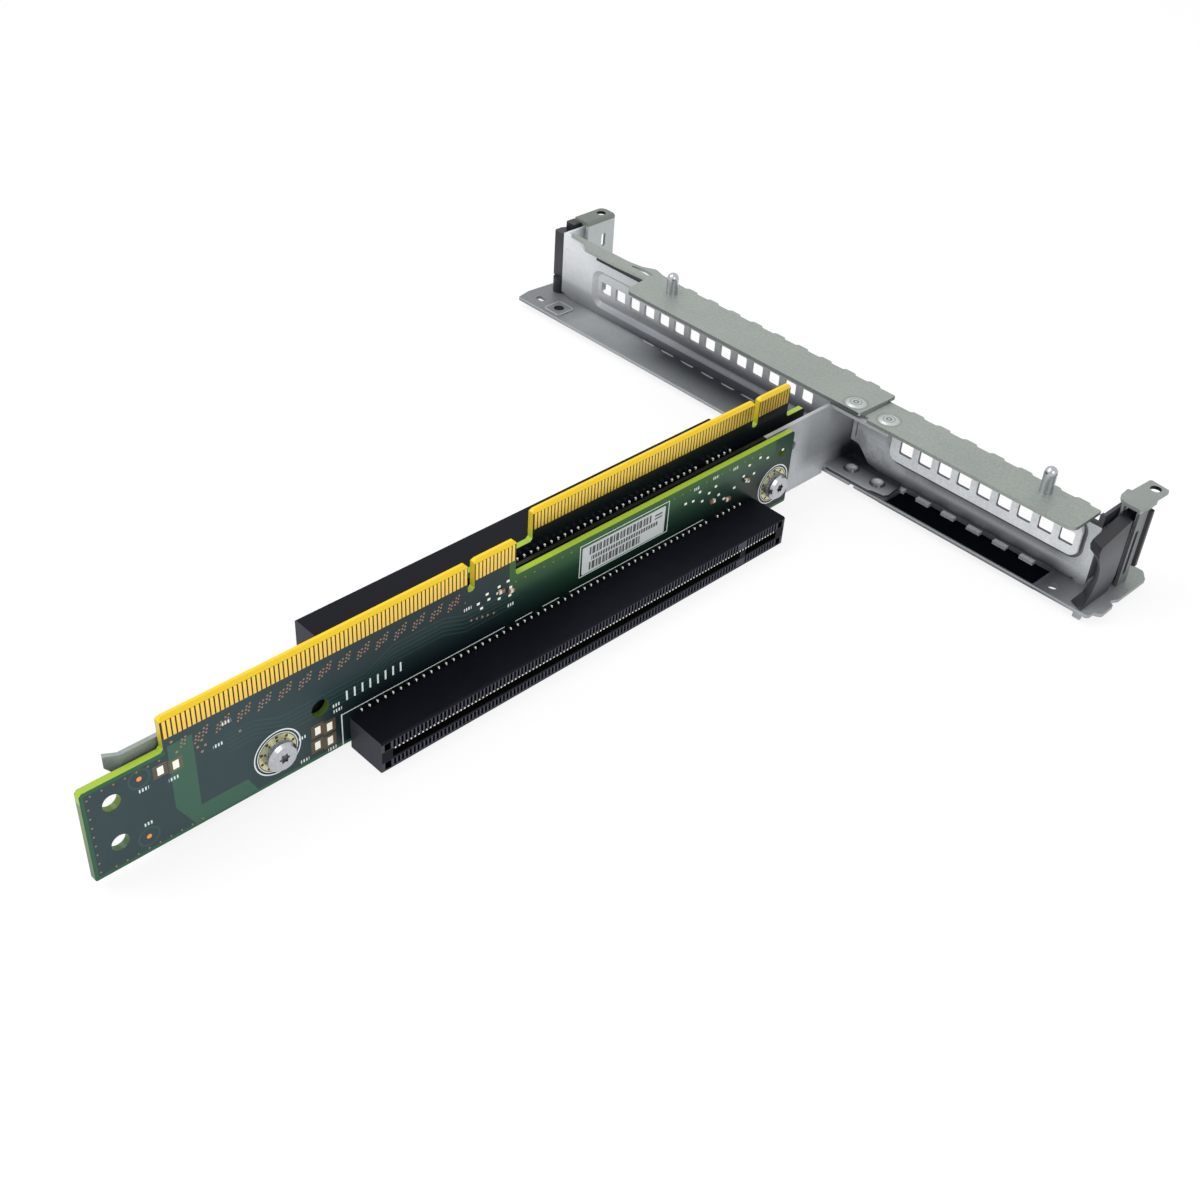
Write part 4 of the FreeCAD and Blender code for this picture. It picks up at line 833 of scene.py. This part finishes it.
def board_resist(name, node):
    """Circuit board: its printed faces, the tinned pads around its screws and its lime glass fibre edges."""
    s = Sheet(name)
    low, high = corners_mm(node)
    face = s.x > high.x - SKIN
    back = s.x < low.x + SKIN
    if node == "front_board":
        ground = front_ground(s, low)
        outer = face
    else:
        ground = rear_ground(s, low, back)
        outer = back
    shiny = 0.0
    for y, z in BOARD_SCREW_PLACES:
        ground, pad = screw_pad(s, ground, y, z)
        shiny = shiny + pad
    contact = s.z > corners_mm("front_gold_fingers")[0].z + 0.2
    ground = s.mix(contact, ground, paint(46, 34, 10))
    edge = s.mix(s.ramp(s.z, 24.5, 27), paint(150, 176, 50), paint(204, 180, 44))
    edge = s.mix(s.z > 31.0, edge, paint(228, 192, 34))
    side = s.ramp(s.z, 3.0, 16.0)
    edge = s.mix(s.z < 21.5, edge, s.mix(side, paint(56, 88, 64), paint(98, 122, 48)))
    bevel = s.z > high.z - 0.92
    colour = s.mix((1 - face.most(back)).most(bevel), ground, edge)
    return s.finish(colour, metallic=shiny * outer * 0.8, roughness=0.34 - shiny * 0.08, specular=0.22,
                    coat=0.05)


# Small meshes
def start_piece(name):
    """Gives the active object and its mesh a name."""
    piece = bpy.context.active_object
    piece.name = name
    piece.data.name = name
    return piece


def clear_selection():
    """Leaves edit mode and deselects every object."""
    if bpy.context.mode != "OBJECT":
        bpy.ops.object.mode_set(mode="OBJECT")
    bpy.ops.object.select_all(action="DESELECT")


def block(name, centre, extent, bevel):
    """Block with bevelled edges at a place given in millimetres."""
    clear_selection()
    bpy.ops.mesh.primitive_cube_add(size=1, location=(Vector(centre) + ORIGIN) * MM)
    piece = start_piece(name)
    piece.scale = Vector(extent) * MM
    bpy.ops.object.transform_apply(location=False, rotation=False, scale=True)
    bpy.ops.object.mode_set(mode="EDIT")
    bpy.ops.mesh.select_all(action="SELECT")
    bpy.ops.mesh.bevel(offset=bevel * MM, segments=1, affect="EDGES")
    bpy.ops.object.mode_set(mode="OBJECT")
    return piece


def row_of(piece, count, step):
    """Repeats a piece along Y with an applied array."""
    modifier = piece.modifiers.new("row", "ARRAY")
    modifier.count = count
    modifier.use_relative_offset = False
    modifier.use_constant_offset = True
    modifier.constant_offset_displace = (0, step, 0)
    clear_selection()
    bpy.context.view_layer.objects.active = piece
    piece.select_set(True)
    single = len(piece.data.polygons)
    bpy.ops.object.modifier_apply(modifier=modifier.name)
    if len(piece.data.polygons) != single * count:
        raise RuntimeError(piece.name + " wasn't repeated")
    return piece


def joined(name, pieces):
    """One object from several, with its place in its mesh."""
    clear_selection()
    for piece in pieces:
        piece.select_set(True)
    bpy.context.view_layer.objects.active = pieces[0]
    bpy.ops.object.join()
    piece = start_piece(name)
    bpy.ops.object.transform_apply(location=True, rotation=True, scale=True)
    return piece


def hand_over(piece, material):
    """Gives a finished piece its material and fixes it to the body that stands still."""
    if not piece.data.polygons:
        raise RuntimeError(piece.name + " came out empty")
    piece.data.materials.clear()
    piece.data.materials.append(material)
    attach(piece, ROOT)


def bent_tail(name, x, y, z, scale):
    """One soldered tail: a rounded blob on the board with a short lead bent down from it."""
    blob = block(name + "_blob", (x, y, z), Vector(TAIL_BLOB) * scale, TAIL_BLOB_BEVEL * scale)
    lead = block(name + "_lead", (x - 0.05, y + 0.2 * scale, z - 0.4 * scale), Vector(TAIL_LEAD) * scale,
                 TAIL_LEAD_BEVEL * scale)
    return joined(name, [blob, lead])


def tail_row(name, node, shift, scale):
    """Row of tails over the CAD ones, with the gap that the key leaves."""
    low = corners_mm(node)[0]
    x = low.x + shift[0]
    z = low.z + shift[1]
    first = low.y + TAIL_FIRST_Y
    pitch = sizes().tail_pitch
    long_row = row_of(bent_tail(name + "_long", x, first, z, scale), TAILS_BEFORE_KEY, pitch)
    after_key = first + (TAILS_BEFORE_KEY + 1) * pitch / MM
    short_row = row_of(bent_tail(name + "_short", x, after_key, z, scale), TAILS_AFTER_KEY, pitch)
    piece = joined(name, [long_row, short_row])
    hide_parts(node)
    return piece


class RISER_OT_finishes(bpy.types.Operator):
    """Give the CAD nodes their finishes, apart from the boards and the soldered tails"""
    bl_idname = "riser.finishes"
    bl_label = "Finishes"

    def execute(self, context):
        dress(top_plate_steel(), "left_top_plate", "right_top_plate")
        dress(rivet_steel(), "top_rivets")
        dress(left_cover_steel(), "left_slot_cover")
        dress(right_cover_steel(), "right_slot_cover")
        dress(base_steel(), "crossbar_base")
        dress(web_steel(), "web_plate")
        dress(end_plate_steel(), "left_end_plate", "right_end_plate", "board_standoffs")
        dress(bright_steel("pin steel", 0.62, 0.9), "guide_pins")
        dress(bright_steel("screw steel", 0.62, 1.0), "front_board_screws", "rear_board_screws")
        dress(foot_rivet_steel(), "foot_rivets")
        dress(latch_plastic(), "left_latch", "right_latch")
        dress(slot_plastic("front slot plastic", "front_slot_housing", 1), "front_slot_housing")
        dress(slot_plastic("rear slot plastic", "rear_slot_housing", -1), "rear_slot_housing")
        dress(gold_plate(), "front_gold_fingers", "rear_gold_fingers")
        dress(base_film(), "base_pad")
        dress(chip_ceramic(), "chip_parts")
        dress(label_paper(), "board_label")
        return {"FINISHED"}


class RISER_OT_boards(bpy.types.Operator):
    """Print the circuit boards"""
    bl_idname = "riser.boards"
    bl_label = "Circuit boards"

    def execute(self, context):
        dress(board_resist("front board", "front_board"), "front_board")
        dress(board_resist("rear board", "rear_board"), "rear_board")
        return {"FINISHED"}


class RISER_OT_tails(bpy.types.Operator):
    """Model the soldered tails of both card slots"""
    bl_idname = "riser.tails"
    bl_label = "Soldered tails"

    def execute(self, context):
        material = tinned()
        for slot, shift, scale in TAIL_ROWS:
            row = tail_row(slot + "_tails", slot + "_slot_tails", shift, scale)
            hand_over(row, material)
        return {"FINISHED"}


class RISER_OT_contact_tips(bpy.types.Operator):
    """Model the contact tips inside both card slots"""
    bl_idname = "riser.contact_tips"
    bl_label = "Contact tips"

    def execute(self, context):
        pitch = sizes().tip_pitch
        material = tinned()
        for node, outward in (("front_slot_housing", 1), ("rear_slot_housing", -1)):
            low, high = corners_mm(node)
            middle = (low.z + high.z) / 2
            face = high.x if outward > 0 else low.x
            rows = []
            for side in (-1, 1):
                place = (face - outward * TIP_DEPTH, low.y + TIP_FIRST_Y, middle + side * TIP_OFF_MIDDLE)
                rows.append(row_of(block("tip", place, TIP_EXTENT, TIP_BEVEL), TIPS_IN_ROW, pitch))
            piece = joined(node.replace("_slot_housing", "_contact_tips"), rows)
            hand_over(piece, material)
        return {"FINISHED"}


class RISER_OT_pads(bpy.types.Operator):
    """Model the soldered pads on the front board"""
    bl_idname = "riser.pads"
    bl_label = "Soldered pads"

    def execute(self, context):
        height = sizes().pad_height / MM
        x = corners_mm("front_board")[1].x + height / 2
        pads = []
        for places, extent in ((LARGE_PADS, LARGE_PAD_EXTENT), (SMALL_PADS, SMALL_PAD_EXTENT)):
            for y, z in places:
                pads.append(block("pad", (x, y, z), (height,) + extent, PAD_BEVEL))
        hand_over(joined("solder_pads", pads), tinned())
        return {"FINISHED"}


class RISER_OT_studio(bpy.types.Operator):
    """Set up the floor, the lights, the sky and the camera"""
    bl_idname = "riser.studio"
    bl_label = "Studio"

    def execute(self, context):
        lay_floor()
        set_sky()
        hang_light("key", KEY_PLACE, KEY_WIDTH, sizes().key_light)
        hang_light("fill", FILL_PLACE, FILL_WIDTH, sizes().fill_light)
        place_camera()
        if context.scene.camera is None:
            raise RuntimeError("the scene has no camera")
        return {"FINISHED"}


def background_rays(s):
    """1 for rays that should see the plain background: from the camera, from metal and through glass."""
    paths = s.node("ShaderNodeLightPath")
    seen = Wire(s, paths.outputs["Is Camera Ray"])
    seen = seen.most(Wire(s, paths.outputs["Is Glossy Ray"]))
    return seen.most(Wire(s, paths.outputs["Is Transmission Ray"]))


def lay_floor():
    """White floor that keeps a faint shadow of the object."""
    clear_selection()
    bpy.ops.mesh.primitive_plane_add(size=FLOOR_WIDTH, location=(0, 0, FLOOR_HEIGHT))
    floor = start_piece("floor")
    s = Sheet("white floor")
    matt = s.node("ShaderNodeBsdfDiffuse", inputs={"Color": paint(246, 246, 246)})
    glow = s.node("ShaderNodeEmission", inputs={"Color": tuple(colours().backdrop), "Strength": 1.0})
    both = s.node("ShaderNodeMixShader", inputs={"Fac": background_rays(s) * FLOOR_GLOW})
    s.feed(both.inputs[1], matt.outputs[0])
    s.feed(both.inputs[2], glow.outputs[0])
    s.feed(s.output.inputs["Surface"], both.outputs[0])
    floor.data.materials.append(s.material)


def set_sky():
    """Even soft light, and a white background for the camera, metal and glass."""
    world = bpy.data.worlds.new("studio sky")
    bpy.context.scene.world = world
    world.use_nodes = True
    nodes = world.node_tree.nodes
    links = world.node_tree.links
    nodes.clear()
    output = nodes.new("ShaderNodeOutputWorld")
    paths = nodes.new("ShaderNodeLightPath")
    soft = nodes.new("ShaderNodeBackground")
    soft.inputs["Strength"].default_value = sizes().sky
    soft.inputs["Color"].default_value = (1, 1, 1, 1)
    white = nodes.new("ShaderNodeBackground")
    white.inputs["Color"].default_value = tuple(colours().backdrop)
    seen = paths.outputs["Is Camera Ray"]
    for name in ("Is Glossy Ray", "Is Transmission Ray"):
        either = nodes.new("ShaderNodeMath")
        either.operation = "MAXIMUM"
        links.new(seen, either.inputs[0])
        links.new(paths.outputs[name], either.inputs[1])
        seen = either.outputs[0]
    both = nodes.new("ShaderNodeMixShader")
    links.new(seen, both.inputs[0])
    links.new(soft.outputs[0], both.inputs[1])
    links.new(white.outputs[0], both.inputs[2])
    links.new(both.outputs[0], output.inputs["Surface"])


def hang_light(name, place, width, power):
    """Square soft light that faces the middle of the object."""
    lamp = bpy.data.lights.new(name, "AREA")
    lamp.energy = power
    lamp.size = width
    hung = bpy.data.objects.new(name, lamp)
    bpy.context.scene.collection.objects.link(hung)
    hung.location = Vector(place) + ORIGIN * MM
    aim = Vector(LIGHT_AIM) - Vector(place)
    hung.rotation_euler = aim.to_track_quat("-Z", "Y").to_euler()


def place_camera():
    """Camera at the photograph's place, direction and roll."""
    lens = bpy.data.cameras.new("photo camera")
    lens.sensor_width = SENSOR
    lens.lens = FOCAL_PIXELS / PHOTO_PIXELS * SENSOR
    camera = bpy.data.objects.new("photo camera", lens)
    bpy.context.scene.collection.objects.link(camera)
    azimuth = math.radians(VIEW_AZIMUTH)
    elevation = math.radians(VIEW_ELEVATION)
    roll = math.radians(VIEW_ROLL)
    back = Vector((math.sin(azimuth) * math.cos(elevation), -math.cos(azimuth) * math.cos(elevation),
                   math.sin(elevation)))
    level = Vector((math.cos(azimuth), math.sin(azimuth), 0))
    upright = back.cross(level)
    right = level * math.cos(roll) + upright * math.sin(roll)
    up = upright * math.cos(roll) - level * math.sin(roll)
    turn = Matrix((right, up, back)).transposed().to_4x4()
    camera.matrix_world = Matrix.Translation(Vector(VIEW_PLACE) + ORIGIN * MM) @ turn
    bpy.context.scene.camera = camera
    bpy.context.scene.view_settings.view_transform = "Standard"


class RISER_PT_panel(bpy.types.Panel):
    """Sidebar panel with the settings and one button for each group of pieces"""
    bl_idname = "RISER_PT_panel"
    bl_label = "Riser card assembly"
    bl_space_type = "VIEW_3D"
    bl_region_type = "UI"
    bl_category = "Riser"

    def draw(self, context):
        column = self.layout.column()
        for group in (context.scene.riser_colours, context.scene.riser_sizes):
            for name in group.__annotations__:
                column.prop(group, name)
        for step in STEPS:
            column.operator(step.bl_idname)


STEPS = (RISER_OT_finishes, RISER_OT_boards, RISER_OT_tails, RISER_OT_contact_tips, RISER_OT_pads,
         RISER_OT_studio)
CLASSES = (RiserColours, RiserSizes) + STEPS + (RISER_PT_panel,)


def register():
    for item in CLASSES:
        bpy.utils.register_class(item)
    bpy.types.Scene.riser_colours = bpy.props.PointerProperty(type=RiserColours)
    bpy.types.Scene.riser_sizes = bpy.props.PointerProperty(type=RiserSizes)


def unregister():
    del bpy.types.Scene.riser_sizes
    del bpy.types.Scene.riser_colours
    for item in reversed(CLASSES):
        bpy.utils.unregister_class(item)


def main():
    """Runs every step in order."""
    register()
    bpy.ops.riser.finishes()
    bpy.ops.riser.boards()
    bpy.ops.riser.tails()
    bpy.ops.riser.contact_tips()
    bpy.ops.riser.pads()
    bpy.ops.riser.studio()


if __name__ == "__main__":
    main()
